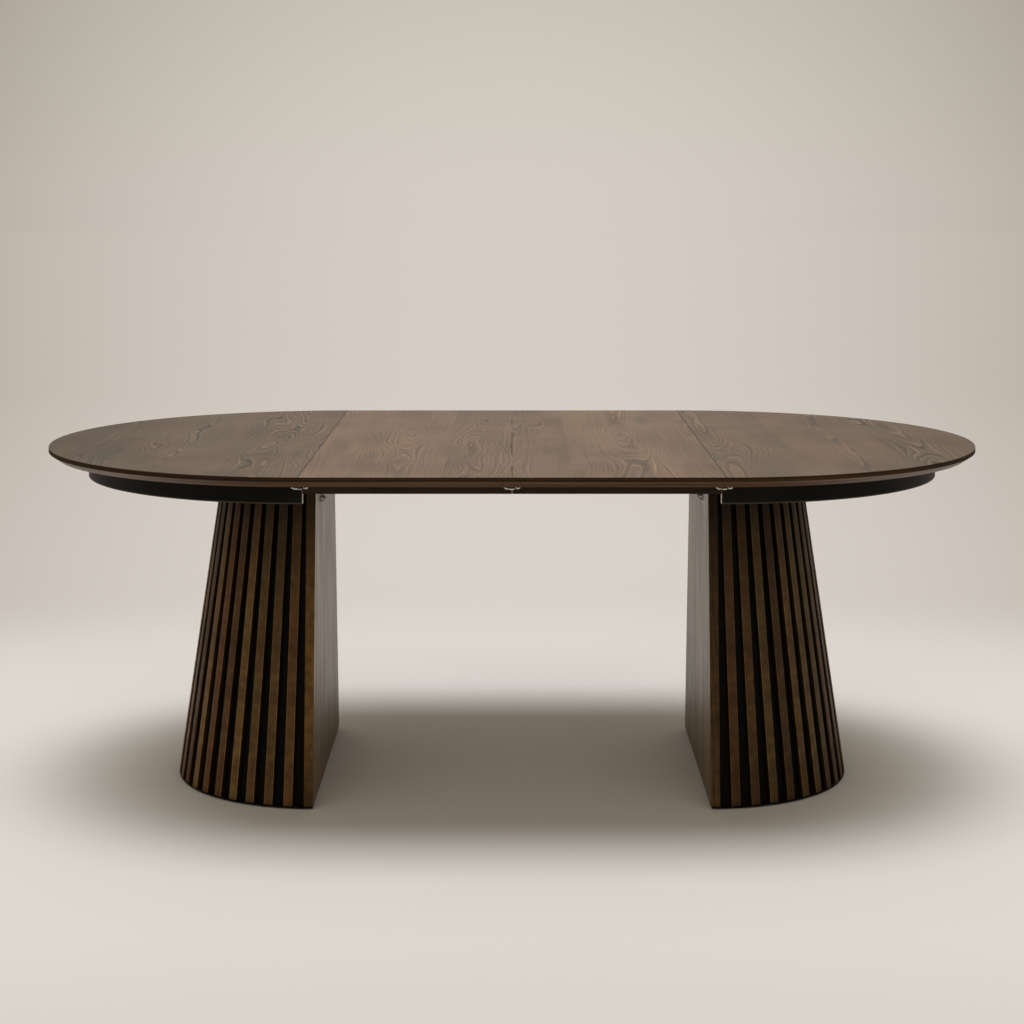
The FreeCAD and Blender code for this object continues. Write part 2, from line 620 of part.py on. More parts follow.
def lock_plate(side):
    """The plate on the left of a seam, with the pivot that its lever turns on."""
    y = side * LOCK_LINE
    plate = box(-LOCK_PLATE_LENGTH, -LOCK_SEAM_INSET, y - LOCK_PLATE_WIDTH / 2, y + LOCK_PLATE_WIDTH / 2,
                UNDERSIDE - LOCK_PLATE_THICKNESS, UNDERSIDE)
    foot = LEVER_BOTTOM - LOCK_LEVER_GAP / 2
    pin = rod(LOCK_PIN_DIAMETER, -LOCK_PIVOT_INSET, y, foot, UNDERSIDE - LOCK_PLATE_THICKNESS)
    head = rod(LOCK_PIN_HEAD_DIAMETER, -LOCK_PIVOT_INSET, y, foot - LOCK_PIN_HEAD_HEIGHT, foot)
    return plate.fuse([pin, head]).removeSplitter()


def lock_keeper(side):
    """The plate on the right of a seam, with the post that the lever hooks on."""
    y = side * LOCK_LINE
    plate = box(LOCK_SEAM_INSET, LOCK_PLATE_LENGTH, y - LOCK_PLATE_WIDTH / 2, y + LOCK_PLATE_WIDTH / 2,
                UNDERSIDE - LOCK_PLATE_THICKNESS, UNDERSIDE)
    post = rod(LOCK_PIN_DIAMETER, LOCK_POST_INSET, y, LEVER_BOTTOM, UNDERSIDE - LOCK_PLATE_THICKNESS)
    return plate.fuse(post).removeSplitter()


def lock_lip(side):
    """The finger strip on a lever's outer edge, its lower edge curved down below the seam."""
    y = side * (LOCK_LINE + LOCK_LEVER_WIDTH / 2)
    half = LOCK_LIP_LENGTH / 2
    end = LEVER_TOP - LOCK_LIP_END_DEPTH
    corners = [Vector(-half, y, end), Vector(-half, y, LEVER_TOP), Vector(half, y, LEVER_TOP),
               Vector(half, y, end)]
    curve = Part.Arc(corners[3], Vector(0, y, LEVER_TOP - LOCK_LIP_DEPTH), corners[0]).toShape()
    outline = Part.Wire(Part.makePolygon(corners).Edges + [curve])
    return Part.Face(outline).extrude(Vector(0, -side * LOCK_LIP_THICKNESS, 0))


def lock_lever(side):
    """The hooked lever, shut across the seam. It swings in towards the middle of the table to open."""
    y = side * LOCK_LINE
    half = LOCK_LEVER_WIDTH / 2
    tip = LOCK_POST_INSET + LOCK_LEVER_NOSE
    eye = rod(LOCK_LEVER_WIDTH, -LOCK_PIVOT_INSET, y, LEVER_BOTTOM, LEVER_TOP)
    arm = box(-LOCK_PIVOT_INSET, tip, y - half, y + half, LEVER_BOTTOM, LEVER_TOP)
    lever = eye.fuse([arm, lock_lip(side)]).removeSplitter()
    swing = LOCK_PIVOT_INSET + LOCK_POST_INSET
    slot = LOCK_PIN_DIAMETER / 2 + LOCK_POST_CLEARANCE
    ring = rod(2 * (swing + slot), -LOCK_PIVOT_INSET, y, LEVER_BOTTOM - OVERRUN, LEVER_TOP + OVERRUN)
    ring = ring.cut(rod(2 * (swing - slot), -LOCK_PIVOT_INSET, y, LEVER_BOTTOM - OVERRUN,
                        LEVER_TOP + OVERRUN))
    open_side = box(-LOCK_PIVOT_INSET, tip + OVERRUN, y - side * slot, y + side * (half + OVERRUN),
                    LEVER_BOTTOM - OVERRUN, LEVER_TOP + OVERRUN)
    bore = rod(LOCK_PIN_DIAMETER + 2 * LOCK_BORE_CLEARANCE, -LOCK_PIVOT_INSET, y,
               LEVER_BOTTOM - OVERRUN, LEVER_TOP + OVERRUN)
    return cut_all(lever, [ring.common(open_side), bore])


def moved(shape, dx):
    copy = shape.copy()
    copy.translate(Vector(dx, 0, 0))
    return copy


def leaf_battens(x0, x1):
    """Battens under a leaf's long edges, in line with the apron."""
    return [box(x0, x1, side * APRON_RADIUS, side * (APRON_RADIUS - BATTEN_THICKNESS),
                UNDERSIDE - BATTEN_HEIGHT, UNDERSIDE) for side, _ in SIDES]


def main():
    os.makedirs("parts", exist_ok=True)
    screw_places = left_screw_places()
    holes = [screw_hole(*place) for place in screw_places]
    screws = [screw(*place) for place in screw_places]
    panel = half_panel()

    # Both halves share these pieces, the right half's being the left half's turned round
    halves = {
        "apron": [half_ring(APRON_RADIUS, APRON_INNER_RADIUS, APRON_BOTTOM, UNDERSIDE, APRON_END_GAP)],
        "apron_blocks": apron_blocks(),
        "base_shell": [cone_shell()],
        "base_slats": slats(),
        "base_formers": [inside_plate(share * BASE_TOP, share * BASE_TOP + FORMER_THICKNESS)
                         for share in FORMER_HEIGHT_SHARES],
        "base_bottom_plate": [bottom_plate()],
        "base_mount_plate": [cut_all(mount_plate(), holes)],
        "floor_glides": glides(),
        "front_runner": [cut_all(moving_runner(FRONT), holes)],
        "rear_runner": [cut_all(moving_runner(REAR), holes)],
        "belt_clamps": [clamp_block(side, 0) for side, _ in SIDES],
        "runner_stop_plates": [stop_plate(side) for side, _ in SIDES],
        "underside_screws": screws,
    }
    right_names = {"front_runner": "rear_runner", "rear_runner": "front_runner"}
    for name, solids in halves.items():
        export("left_" + name, solids)
        export("right_" + right_names.get(name, name), [turned(s) for s in solids])

    # The flat faces meet pin to cup, so the right half's fittings aren't the left's turned round
    export("left_base_inner_board", [inner_board(FRONT)])
    export("right_base_inner_board", [turned(inner_board(REAR))])
    export("left_locating_pin_and_cup", locating_fittings(FRONT))
    export("right_locating_pin_and_cup", [turned(s) for s in locating_fittings(REAR)])

    # Tops and leaves: dowels stand out of each piece's left side into the piece before it
    export("left_top", [cut_all(panel, holes + dowel_holes(-LEAF_WIDTH, -1))])
    right_panel = turned(cut_all(panel, holes))
    export("right_top", [cut_all(right_panel, dowel_beds(LEAF_WIDTH, 1))])
    export("right_top_dowels", dowels(LEAF_WIDTH, 1))
    trim = SEAM_GAP / 2
    for name, x0, x1 in (("left_leaf", -LEAF_WIDTH, 0), ("right_leaf", 0, LEAF_WIDTH)):
        board = leaf_panel(x0 + trim, x1 - trim)
        export(name, [cut_all(board, dowel_beds(x0, 1) + dowel_holes(x1, -1))])
        export(name + "_dowels", dowels(x0, 1))
        export(name + "_battens", leaf_battens(x0 + APRON_END_GAP, x1 - APRON_END_GAP))

    # Locks: plate and lever on the left of each seam, keeper on the right
    seams = (("left_top", "left_leaf", -LEAF_WIDTH), ("left_leaf", "right_leaf", 0),
             ("right_leaf", "right_top", LEAF_WIDTH))
    for holder, taker, x in seams:
        export(holder + "_lock_plates", [moved(lock_plate(side), x) for side, _ in SIDES])
        export(taker + "_lock_keepers", [moved(lock_keeper(side), x) for side, _ in SIDES])
        for side, word in SIDES:
            export(f"{holder}_{word}_lock_lever", [moved(lock_lever(side), x)])

    # Centre runners with their belts and pulleys
    for side, word in SIDES:
        export(word + "_centre_runner", [centre_runner(side)])
        export(word + "_left_pulley", [pulley(-PULLEY_PLACE, side)])
        export(word + "_right_pulley", [pulley(PULLEY_PLACE, side)])
    export("runner_belts", [belt(side) for side, _ in SIDES])
    export("pulley_axles", [pulley_axle(x, side) for side, _ in SIDES for x in (-PULLEY_PLACE, PULLEY_PLACE)])
    export("runner_stop_screws", [s for side, _ in SIDES for s in stop_screws(side)])


main()
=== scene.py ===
"""Finish of the extending dining table: stained oak top and leaves, slatted half cones, runners and fittings.

Metres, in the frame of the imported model. The CAD pieces keep their place. The slats, screws, floor glides
and dowels are made again here with more detail.
"""
import math

import bpy
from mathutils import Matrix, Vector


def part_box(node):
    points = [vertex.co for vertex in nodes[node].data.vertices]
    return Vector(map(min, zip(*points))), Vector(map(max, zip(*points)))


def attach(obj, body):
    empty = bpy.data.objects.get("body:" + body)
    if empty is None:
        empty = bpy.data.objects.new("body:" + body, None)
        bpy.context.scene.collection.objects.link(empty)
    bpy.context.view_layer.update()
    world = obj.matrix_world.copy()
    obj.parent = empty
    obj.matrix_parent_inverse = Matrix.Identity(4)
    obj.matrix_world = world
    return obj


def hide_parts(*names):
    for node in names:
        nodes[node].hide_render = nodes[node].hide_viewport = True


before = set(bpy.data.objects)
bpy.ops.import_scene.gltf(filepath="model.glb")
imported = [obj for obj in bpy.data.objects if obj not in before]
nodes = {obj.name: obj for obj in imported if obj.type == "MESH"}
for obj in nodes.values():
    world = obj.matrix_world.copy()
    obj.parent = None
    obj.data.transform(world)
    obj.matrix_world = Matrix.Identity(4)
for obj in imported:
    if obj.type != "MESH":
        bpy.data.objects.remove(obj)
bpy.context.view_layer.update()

SIDES = ("left", "right")
TOP_PANELS = ("left_top", "left_leaf", "right_leaf", "right_top")

# Where the top's faces and edges and the half cones' flat faces lie, from the CAD boxes
seam_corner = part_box("left_top")[1]
TOP_FACE = seam_corner.z
OUTER_SEAM = -seam_corner.x
EDGE_BAND_HEIGHT = 0.010
EDGE_BAND_FOOT = TOP_FACE - EDGE_BAND_HEIGHT
FLAT_FACE = -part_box("left_base_inner_board")[1].x

# How far below its face the top's look changes to that of its edge, and how wide its veneer strips are
FACE_STEP = 0.0005
VENEER_STRIP = 0.225

# The curve of a lock lever's finger lip, as in the CAD model
LIP_RADIUS = 0.043

# The slats round each half cone, as in the CAD model
SLATS_PER_HALF = 22
SLAT_WIDTH = 0.0204
SLAT_THICKNESS = 0.010
SLAT_ARRIS = 0.0014
SLAT_FIRST_ANGLE = math.radians(9.4)
BASE_FLOOR_RADIUS = 0.340
BASE_TAPER = 0.150

# Usual sizes of the small fittings; those that can be measured on the CAD model are taken from there instead
SCREW_SIZES = {"Head Width": 0.008, "Head Height": 0.0026, "Shank Width": 0.004, "Recess Width": 0.0046,
               "Recess Slot": 0.0011, "Recess Depth": 0.0016}
GLIDE_SIZES = {"Pad Width": 0.032, "Pad Height": 0.003, "Pad Edge": 0.0007, "Nail Width": 0.005,
               "Nail Length": 0.014, "Nail Edge": 0.001}
DOWEL_SIZES = {"Width": 0.010, "Length": 0.028, "Edge": 0.0015, "Flutes": 12.0, "Flute Depth": 0.0003}


def fill(tree, socket, value):
    """Joins the socket to another one, or sets it."""
    if isinstance(value, bpy.types.NodeSocket):
        tree.links.new(value, socket)
    else:
        socket.default_value = value


def add(tree, kind, sockets=None, **settings):
    """Adds a node, sets its properties, then joins or sets its sockets by name or number."""
    node = tree.nodes.new(kind)
    for name, value in settings.items():
        setattr(node, name, value)
    for name, value in (sockets or {}).items():
        fill(tree, node.inputs[name], value)
    return node


def result(tree, kind, sockets=None, **settings):
    """The first output of a new node."""
    return add(tree, kind, sockets, **settings).outputs[0]


def calc(tree, operation, *values, clamp=False):
    """One step of arithmetic. Gives its result's socket."""
    return result(tree, "ShaderNodeMath", dict(enumerate(values)), operation=operation, use_clamp=clamp)


def product(tree, first, *others):
    """All the values multiplied."""
    for value in others:
        first = calc(tree, "MULTIPLY", first, value)
    return first


def scaled(tree, value, factor, offset, clamp=False):
    """The value times a factor, plus an offset."""
    return calc(tree, "MULTIPLY_ADD", value, factor, offset, clamp=clamp)


def ramp(tree, value, start, end, before=0.0, after=1.0, smooth=True):
    """Goes from before to after while the value goes from start to end."""
    return result(tree, "ShaderNodeMapRange",
                  {"Value": value, "From Min": start, "From Max": end, "To Min": before, "To Max": after},
                  interpolation_type="SMOOTHSTEP" if smooth else "LINEAR")


def split(tree, vector):
    """The X, Y and Z of a vector."""
    return add(tree, "ShaderNodeSeparateXYZ", {0: vector}).outputs


def combine(tree, *values):
    """A vector from up to three numbers or sockets."""
    return result(tree, "ShaderNodeCombineXYZ", dict(enumerate(values)))


def colour(red, green, blue):
    """A colour as a paint card gives it, 0 to 255, turned into the light values that nodes take."""
    def light(level):
        share = level / 255
        return share / 12.92 if share <= 0.04045 else ((share + 0.055) / 1.055) ** 2.4
    return (light(red), light(green), light(blue), 1.0)


def mix(tree, share, first, second, blend_type="MIX"):
    """Mixes two colours by the share of the second."""
    node = add(tree, "ShaderNodeMix", data_type="RGBA", blend_type=blend_type)
    for place, value in ((0, share), (6, first), (7, second)):
        fill(tree, node.inputs[place], value)
    return node.outputs[2]


def tinted(tree, tone, tint):
    """The colour times another one."""
    return mix(tree, 1.0, tone, tint, "MULTIPLY")


def shaded(tree, tone, level):
    """The colour times a level, which may be a socket."""
    return tinted(tree, tone, result(tree, "ShaderNodeCombineColor", {0: level, 1: level, 2: level}))


def start_group(name, inputs, outputs):
    """Starts a shader node group. Inputs are (name, kind, value) and outputs (name, kind)."""
    group = bpy.data.node_groups.new(name, "ShaderNodeTree")
    for label, kind, value in inputs:
        socket = group.interface.new_socket(label, in_out="INPUT", socket_type="NodeSocket" + kind)
        if value is not None:
            socket.default_value = value
    for label, kind in outputs:
        group.interface.new_socket(label, in_out="OUTPUT", socket_type="NodeSocket" + kind)
    enter = group.nodes.new("NodeGroupInput")
    leave = group.nodes.new("NodeGroupOutput")
    return group, enter.outputs, leave.inputs


def use_group(tree, group, **sockets):
    """Places a group in a material. Words in a socket's name are joined with underscores here."""
    named = {name.replace("_", " "): value for name, value in sockets.items()}
    return add(tree, "ShaderNodeGroup", named, node_tree=group).outputs


def make_oak_figure():
    """Crown-cut oak: rings that swirl round slow hills, in veneer strips that each have their own heart.

    Calm stretches show only the fine straight streaks of the grain.
    """
    group, given, made = start_group(
        "Oak figure",
        [("Position", "Vector", None), ("Strip Width", "Float", VENEER_STRIP),
         ("Ring Spacing", "Float", 0.007), ("Swirl", "Float", 5.0), ("Seed", "Float", 0.0)],
        [(name, "Float") for name in ("Rings", "Crests", "Streaks", "Strip", "Cloud", "Heart")])
    across, along, deep = split(group, given["Position"])
    seed = given["Seed"]
    shifted = scaled(group, seed, 0.373, across)
    strip = calc(group, "FLOOR", calc(group, "DIVIDE", shifted, given["Strip Width"]))
    draw = add(group, "ShaderNodeTexWhiteNoise", {"W": scaled(group, seed, 7.31, strip)},
               noise_dimensions="1D")
    picks = add(group, "ShaderNodeSeparateColor", {0: draw.outputs["Color"]}).outputs

    # The rings lie round each strip's own heart, by its picked place, depth and lean
    place = scaled(group, picks[0], 0.5, 0.25)
    heart_line = product(group, calc(group, "ADD", strip, place), given["Strip Width"])
    off_heart = calc(group, "SUBTRACT", shifted, heart_line)
    depth = scaled(group, picks[1], 0.05, 0.03)
    radius = calc(group, "SQRT", calc(group, "ADD", product(group, off_heart, off_heart),
                                      product(group, depth, depth)))
    lean = scaled(group, picks[2], 0.06, -0.03)
    cone = calc(group, "DIVIDE", scaled(group, along, lean, radius), given["Ring Spacing"])

    drift = scaled(group, strip, 3.17, product(group, seed, 11.9))

    def slow_noise(across_pace, along_pace, detail, offset):
        """Noise that is slow along the grain, and another one for each strip and offset."""
        spot = combine(group, product(group, across, across_pace), product(group, along, along_pace),
                       calc(group, "ADD", scaled(group, deep, across_pace, drift), offset))
        return result(group, "ShaderNodeTexNoise", {"Vector": spot, "Scale": 1.0, "Detail": detail,
                                                    "Roughness": 0.5})

    # Hills push the rings aside where the wood is figured, and ripples make them waver
    hills = slow_noise(9.0, 1.9, 1.0, 0.0)
    ripples = slow_noise(38.0, 6.0, 1.0, 5.3)
    figured = ramp(group, slow_noise(4.5, 1.3, 0.0, 2.7), 0.4, 0.6, before=0.15, after=1.0)
    sway = product(group, calc(group, "SUBTRACT", hills, 0.5), product(group, given["Swirl"], 2.3))
    number = calc(group, "ADD", scaled(group, sway, figured, cone), product(group, ripples, 1.4))
    within = calc(group, "FRACT", number)
    ring_draw = add(group, "ShaderNodeTexWhiteNoise", {"W": calc(group, "FLOOR", number)},
                    noise_dimensions="1D").outputs["Value"]
    strength = product(group, scaled(group, ring_draw, 0.75, 0.25), scaled(group, figured, 0.6, 0.4))
    line = ramp(group, within, 0.0, 0.55, before=1.0, after=0.0)
    fill(group, made["Rings"], product(group, line, strength))
    fill(group, made["Crests"], product(group, ramp(group, within, 0.66, 0.96), strength))
    fill(group, made["Strip"], draw.outputs["Value"])
    fill(group, made["Cloud"], slow_noise(11.0, 3.0, 2.0, 9.1))
    fill(group, made["Streaks"], slow_noise(430.0, 3.5, 1.0, 14.7))
    fill(group, made["Heart"], product(group, ramp(group, hills, 0.665, 0.7), figured))
    return group


def make_open_pores():
    """Short dark pores along the grain, with the relief that they and the rings leave under the lacquer."""
    group, given, made = start_group(
        "Open pores",
        [("Position", "Vector", None), ("Length Pace", "Float", 60.0), ("Width Pace", "Float", 1100.0),
         ("Rings", "Float", 0.5)],
        [("Pores", "Float"), ("Relief", "Float")])
    across, along, deep = split(group, given["Position"])
    spot = combine(group, product(group, across, given["Width Pace"]),
                   product(group, along, given["Length Pace"]), product(group, deep, given["Width Pace"]))
    grain = result(group, "ShaderNodeTexNoise", {"Vector": spot, "Scale": 1.0, "Detail": 1.0})
    pores = product(group, ramp(group, grain, 0.54, 0.7), scaled(group, given["Rings"], 0.7, 0.3))
    sunk = scaled(group, given["Rings"], 0.35, product(group, pores, 0.65))
    fill(group, made["Pores"], pores)
    fill(group, made["Relief"], calc(group, "SUBTRACT", 1.0, sunk))
    return group


def make_handled_surface():
    """The unevenness that hands and cloths leave in a finish: a slow cloud with fine specks in it."""
    group, given, made = start_group(
        "Handled surface",
        [("Position", "Vector", None), ("Cloud Pace", "Float", 9.0), ("Speck Pace", "Float", 420.0)],
        [("Cloud", "Float"), ("Specks", "Float")])
    for name, pace, detail, start, end in (("Cloud", "Cloud Pace", 3.0, 0.3, 0.7),
                                           ("Specks", "Speck Pace", 1.0, 0.4, 0.8)):
        noise = result(group, "ShaderNodeTexNoise", {"Vector": given["Position"], "Scale": given[pace],
                                                     "Detail": detail})
        fill(group, made[name], ramp(group, noise, start, end))
    return group


OAK_FIGURE = make_oak_figure()
OPEN_PORES = make_open_pores()
HANDLED_SURFACE = make_handled_surface()


# How strongly the bare finishes shine
STAIN_GLOSS = 0.12
BLACK_GLOSS = 0.05
SMOOTH_GLOSS = 0.5

# The lacquer on the top's faces, and the thin wax on the bevel below its edge
LACQUER_COAT = 0.4
LACQUER_ROUGHNESS = 0.42
BEVEL_WAX = 0.14

# How deep the pores lie
PORE_DEPTH = 0.0003

# The pale wood on the crest of a ring
CREST = colour(150, 126, 100)

# Stretches over which a finish gives way to the next, measured from what each is named after; the arris
# highlight, the shaded side and the shaded lip are painted light and shade, and the apron's lower edge is
# partly a painted highlight
SEAM_LINE = (0.0008, 0.0018)
CUT_EDGE = (0.0001, 0.0004)
ARRIS_HIGHLIGHT = (0.0006, 0.0022)
SHADED_SIDE = (0.0001, 0.0004)
APRON_WEAR_AND_HIGHLIGHT = (0.0014, 0.0034)
SHADED_LIP = (0.0014, 0.0026)
BAND_BLUR = 0.0003
PLIES_PER_METRE = 500.0

# The parts of the top's half length and of the base's height over which the tones change; the top's end, the
# slats' head and height and the board's lower part carry painted shade
TOP_END_SHADE = (0.45, 1.05)
SLAT_HEAD_SHADE = (0.43, 0.72)
SLAT_HEIGHT_SHADE = (0.1, 0.45)
SLAT_FOOT = (0.0, 0.2)
BOARD_LOWER_SHADE = (0.0, 0.4)
BOARD_GLOSS_LOWER = (0.0, 0.42)
BOARD_EDGE_FOOT = (0.0, 0.16)

# How fast the streaks change along each axis once the grain is turned along Y
LIPPING_STREAKS = (330.0, 2.5, 2.5)
BOARD_BANDS = (44.0, 2.6, 44.0)
BOARD_STREAKS = (210.0, 3.4, 210.0)

# The right half cone's slats are this much darker than the left one's
RIGHT_BASE_LEVEL = 0.67

# Roughness that the specks add, roughness without them, and strength and depth of their relief
BLACK_SPECKS = (0.12, 0.42, 0.15, 0.0002)
ZINC_SPECKS = (0.18, 0.3, 0.1, 0.0001)
ZINC_METALLIC = 0.9


def start_finish(name, gloss=SMOOTH_GLOSS):
    """A new material. Gives it, its tree, its shader and the piece's own position."""
    material = bpy.data.materials.new(name)
    material.use_nodes = True
    tree = material.node_tree
    tree.nodes.clear()
    shader = add(tree, "ShaderNodeBsdfPrincipled",
                 {"Specular IOR Level": gloss, "Coat Roughness": LACQUER_ROUGHNESS})
    add(tree, "ShaderNodeOutputMaterial", {"Surface": shader.outputs[0]})
    position = tree.nodes.new("ShaderNodeTexCoord").outputs["Object"]
    return material, tree, shader, position


def set_look(tree, shader, tone, rough, height, strength=0.25, depth=PORE_DEPTH):
    """Gives the shader its colour, its roughness and the relief of a height."""
    relief = result(tree, "ShaderNodeBump", {"Height": height, "Strength": strength, "Distance": depth})
    for name, value in (("Base Color", tone), ("Roughness", rough), ("Normal", relief)):
        fill(tree, shader.inputs[name], value)


def set_specked_look(tree, shader, tone, specks, share, rough, strength, depth):
    """Gives the shader its colour, and specks that both dull it and stand out as relief."""
    set_look(tree, shader, tone, scaled(tree, specks, share, rough), specks, strength, depth)


def turn_grain(tree, position, grain_axis):
    """Turns a position so that the grain, along X or Z, runs along Y."""
    parts = split(tree, position)
    order = {"X": ("Z", "X", "Y"), "Z": ("Y", "Z", "X")}[grain_axis]
    return combine(tree, *(parts[axis] for axis in order))


def stretched_noise(tree, grain, paces):
    """Noise from 0 to 1 with its own pace on each axis, slow along the grain."""
    drawn = result(tree, "ShaderNodeMapping", {"Vector": grain, "Scale": paces})
    noise = result(tree, "ShaderNodeTexNoise", {"Vector": drawn, "Scale": 1.0, "Detail": 1.0})
    return ramp(tree, noise, 0.3, 0.7)


def oak_colours(tree, grain, light, dark, seed, ring_share, strip_width, spacing, swirl, strip_tint=0.12,
                crest_share=0.3, cloud_spread=0.11):
    """Colour, figure and pores of stained oak on a position whose grain runs along Y."""
    figure = use_group(tree, OAK_FIGURE, Position=grain, Strip_Width=strip_width, Ring_Spacing=spacing,
                       Swirl=swirl, Seed=seed)
    pores = use_group(tree, OPEN_PORES, Position=grain, Rings=figure["Rings"])
    share = scaled(tree, pores["Pores"], 0.35, product(tree, figure["Rings"], ring_share), clamp=True)
    tone = mix(tree, share, light, dark)
    if crest_share:
        tone = mix(tree, product(tree, figure["Crests"], crest_share * ring_share), tone, CREST)
    cloud = ramp(tree, figure["Cloud"], 0.3, 0.7, before=1 - cloud_spread, after=1 + cloud_spread)
    streaks = ramp(tree, figure["Streaks"], 0.3, 0.7, before=0.88, after=1.1, smooth=False)
    tint = scaled(tree, figure["Strip"], 2 * strip_tint, 1 - strip_tint)
    return shaded(tree, tone, product(tree, cloud, streaks, tint)), figure, pores


def make_panel_finish(name, seed, level, shaded_end_level, figure_share):
    """The top's finish: figured veneer on the face, a dark lipping round the edge, plain stain below.

    The face's brightness goes from one level to the other towards the end of the table, a painted shade.
    """
    material, tree, shader, position = start_finish(name, STAIN_GLOSS)
    parts = split(tree, position)

    # The face, with a thin dark line where two panels meet
    face, figure, pores = oak_colours(tree, position, colour(104, 81, 64), colour(48, 38, 32), seed,
                                      ring_share=figure_share, strip_width=VENEER_STRIP, spacing=0.0052,
                                      swirl=8.0, crest_share=0.8, cloud_spread=0.17)
    face = mix(tree, product(tree, figure["Heart"], 0.5), face, colour(60, 57, 55))
    reach = calc(tree, "ABSOLUTE", parts["X"])
    # Painted shade: the face darkens towards the table's end
    shade = ramp(tree, reach, *TOP_END_SHADE, before=level, after=shaded_end_level, smooth=False)
    from_outer = calc(tree, "ABSOLUTE", calc(tree, "SUBTRACT", reach, OUTER_SEAM))
    off_seam = ramp(tree, calc(tree, "MINIMUM", reach, from_outer), *SEAM_LINE)
    face = shaded(tree, face, product(tree, shade, scaled(tree, off_seam, 0.6, 0.4)))

    # The lipping, painted paler on the bevel below its upright band: a painted light from the bright floor
    # that the bevel faces
    rim = turn_grain(tree, position, "X")
    lipping = oak_colours(tree, rim, colour(49, 31, 14), colour(19, 11, 4), seed + 0.5, ring_share=0.8,
                          strip_width=0.4, spacing=0.0026, swirl=1.5, strip_tint=0.05, crest_share=0.1)[0]
    on_band = ramp(tree, parts["Z"], EDGE_BAND_FOOT - BAND_BLUR, EDGE_BAND_FOOT + BAND_BLUR)
    edge = mix(tree, on_band, mix(tree, 0.36, lipping, colour(114, 87, 66)), lipping)
    edge = shaded(tree, edge, scaled(tree, stretched_noise(tree, rim, LIPPING_STREAKS), 0.8, 0.6))

    on_face = ramp(tree, parts["Z"], TOP_FACE - 2 * FACE_STEP, TOP_FACE - FACE_STEP)
    lacquered = product(tree, on_face, scaled(tree, off_seam, 0.7, 0.3))
    waxed = scaled(tree, on_band, -BEVEL_WAX, BEVEL_WAX)
    fill(tree, shader.inputs["Coat Weight"], scaled(tree, lacquered, LACQUER_COAT, waxed))
    handled = use_group(tree, HANDLED_SURFACE, Position=position, Cloud_Pace=5.0)
    rough = scaled(tree, handled["Cloud"], 0.06, 0.4)
    rough = scaled(tree, pores["Pores"], 0.15, rough)
    rough = scaled(tree, calc(tree, "SUBTRACT", on_band, on_face), 0.35, rough)
    set_look(tree, shader, mix(tree, on_face, edge, face), rough, pores["Relief"])
    return material


def make_plain_wood(name, grain_axis, light, dark, rough, seed, spacing=0.004, swirl=1.5, ring_share=0.7):
    """Straight-grained wood for battens, runners, blocks and dowels."""
    material, tree, shader, position = start_finish(name, STAIN_GLOSS)
    tone, _, pores = oak_colours(tree, turn_grain(tree, position, grain_axis), light, dark, seed,
                                 ring_share=ring_share, strip_width=0.12, spacing=spacing, swirl=swirl,
                                 crest_share=0.0)
    handled = use_group(tree, HANDLED_SURFACE, Position=position)
    set_look(tree, shader, tone, scaled(tree, handled["Cloud"], 0.08, rough), pores["Relief"])
    return material


def slat_colours(tree, position, grain, seed, tone_pick, level):
    """Colour and pores of a slat, red to yellow brown by its pick from 0 to 1, with painted shade near its
    head.
    """
    warm, _, pores = oak_colours(tree, grain, colour(110, 82, 44), colour(54, 37, 18), seed, ring_share=0.6,
                                 strip_width=0.3, spacing=0.0034, swirl=2.2, strip_tint=0.0)
    red_brown = tinted(tree, warm, colour(230, 206, 200))
    toned = mix(tree, ramp(tree, tone_pick, 0.2, 0.8), red_brown, warm)
    height = split(tree, position)["Z"]
    mottle = result(tree, "ShaderNodeTexNoise",
                    {"Vector": grain, "Scale": 34.0, "Detail": 3.0, "Roughness": 0.65})
    # Painted shade: darker near the head under the top, and lighter low down than in the middle
    level = product(tree, level,
                    ramp(tree, height, *SLAT_HEAD_SHADE, before=1.0, after=0.24),
                    ramp(tree, height, *SLAT_HEIGHT_SHADE, before=1.08, after=0.9),
                    ramp(tree, mottle, 0.3, 0.7, before=0.72, after=1.26))
    return shaded(tree, toned, level), pores


def make_slat_finish():
    """Each slat's own tone, from the number that its mesh carries, with grain along it, painted highlights on
    its arrises and painted shade in its gaps and near its head.
    """
    material, tree, shader, position = start_finish("slat oak", STAIN_GLOSS)
    tone_pick = add(tree, "ShaderNodeAttribute", attribute_name="slat_tone").outputs["Fac"]
    place = add(tree, "ShaderNodeAttribute", attribute_name="slat_place").outputs["Vector"]
    parts = split(tree, position)

    # Each slat's brightness, and the right half cone darker and cooler, darkest at its foot
    on_right = calc(tree, "GREATER_THAN", parts["X"], 0.0)
    brightness_pick = calc(tree, "FRACT", product(tree, tone_pick, 7.7))
    foot = ramp(tree, parts["Z"], *SLAT_FOOT, before=0.3, after=0.0)
    level = product(tree, ramp(tree, brightness_pick, 0.0, 1.0, before=0.4, after=1.08, smooth=False),
                    scaled(tree, on_right, RIGHT_BASE_LEVEL - 1.0, 1.0),
                    calc(tree, "SUBTRACT", 1.0, product(tree, foot, on_right)))
    seed = product(tree, tone_pick, 91.0)
    tone, pores = slat_colours(tree, position, turn_grain(tree, place, "Z"), seed, tone_pick, level)
    tone = mix(tree, product(tree, on_right, 0.8), tone, tinted(tree, tone, colour(232, 244, 255)))

    # Painted highlights on the arrises, and painted shade on the sides in the gaps
    across = calc(tree, "ABSOLUTE", split(tree, place)["Y"])
    near, far = (SLAT_WIDTH / 2 - inset for inset in ARRIS_HIGHLIGHT)
    painted_lighting = ramp(tree, across, far, near, before=1.0, after=2.1)
    near, far = (SLAT_WIDTH / 2 - inset for inset in SHADED_SIDE)
    dark = ramp(tree, across, far, near, before=1.0, after=0.08)
    tone = shaded(tree, tone, product(tree, painted_lighting, dark))
    handled = use_group(tree, HANDLED_SURFACE, Position=position)
    set_look(tree, shader, tone, scaled(tree, handled["Cloud"], 0.08, 0.46), pores["Relief"], strength=0.3)
    return material


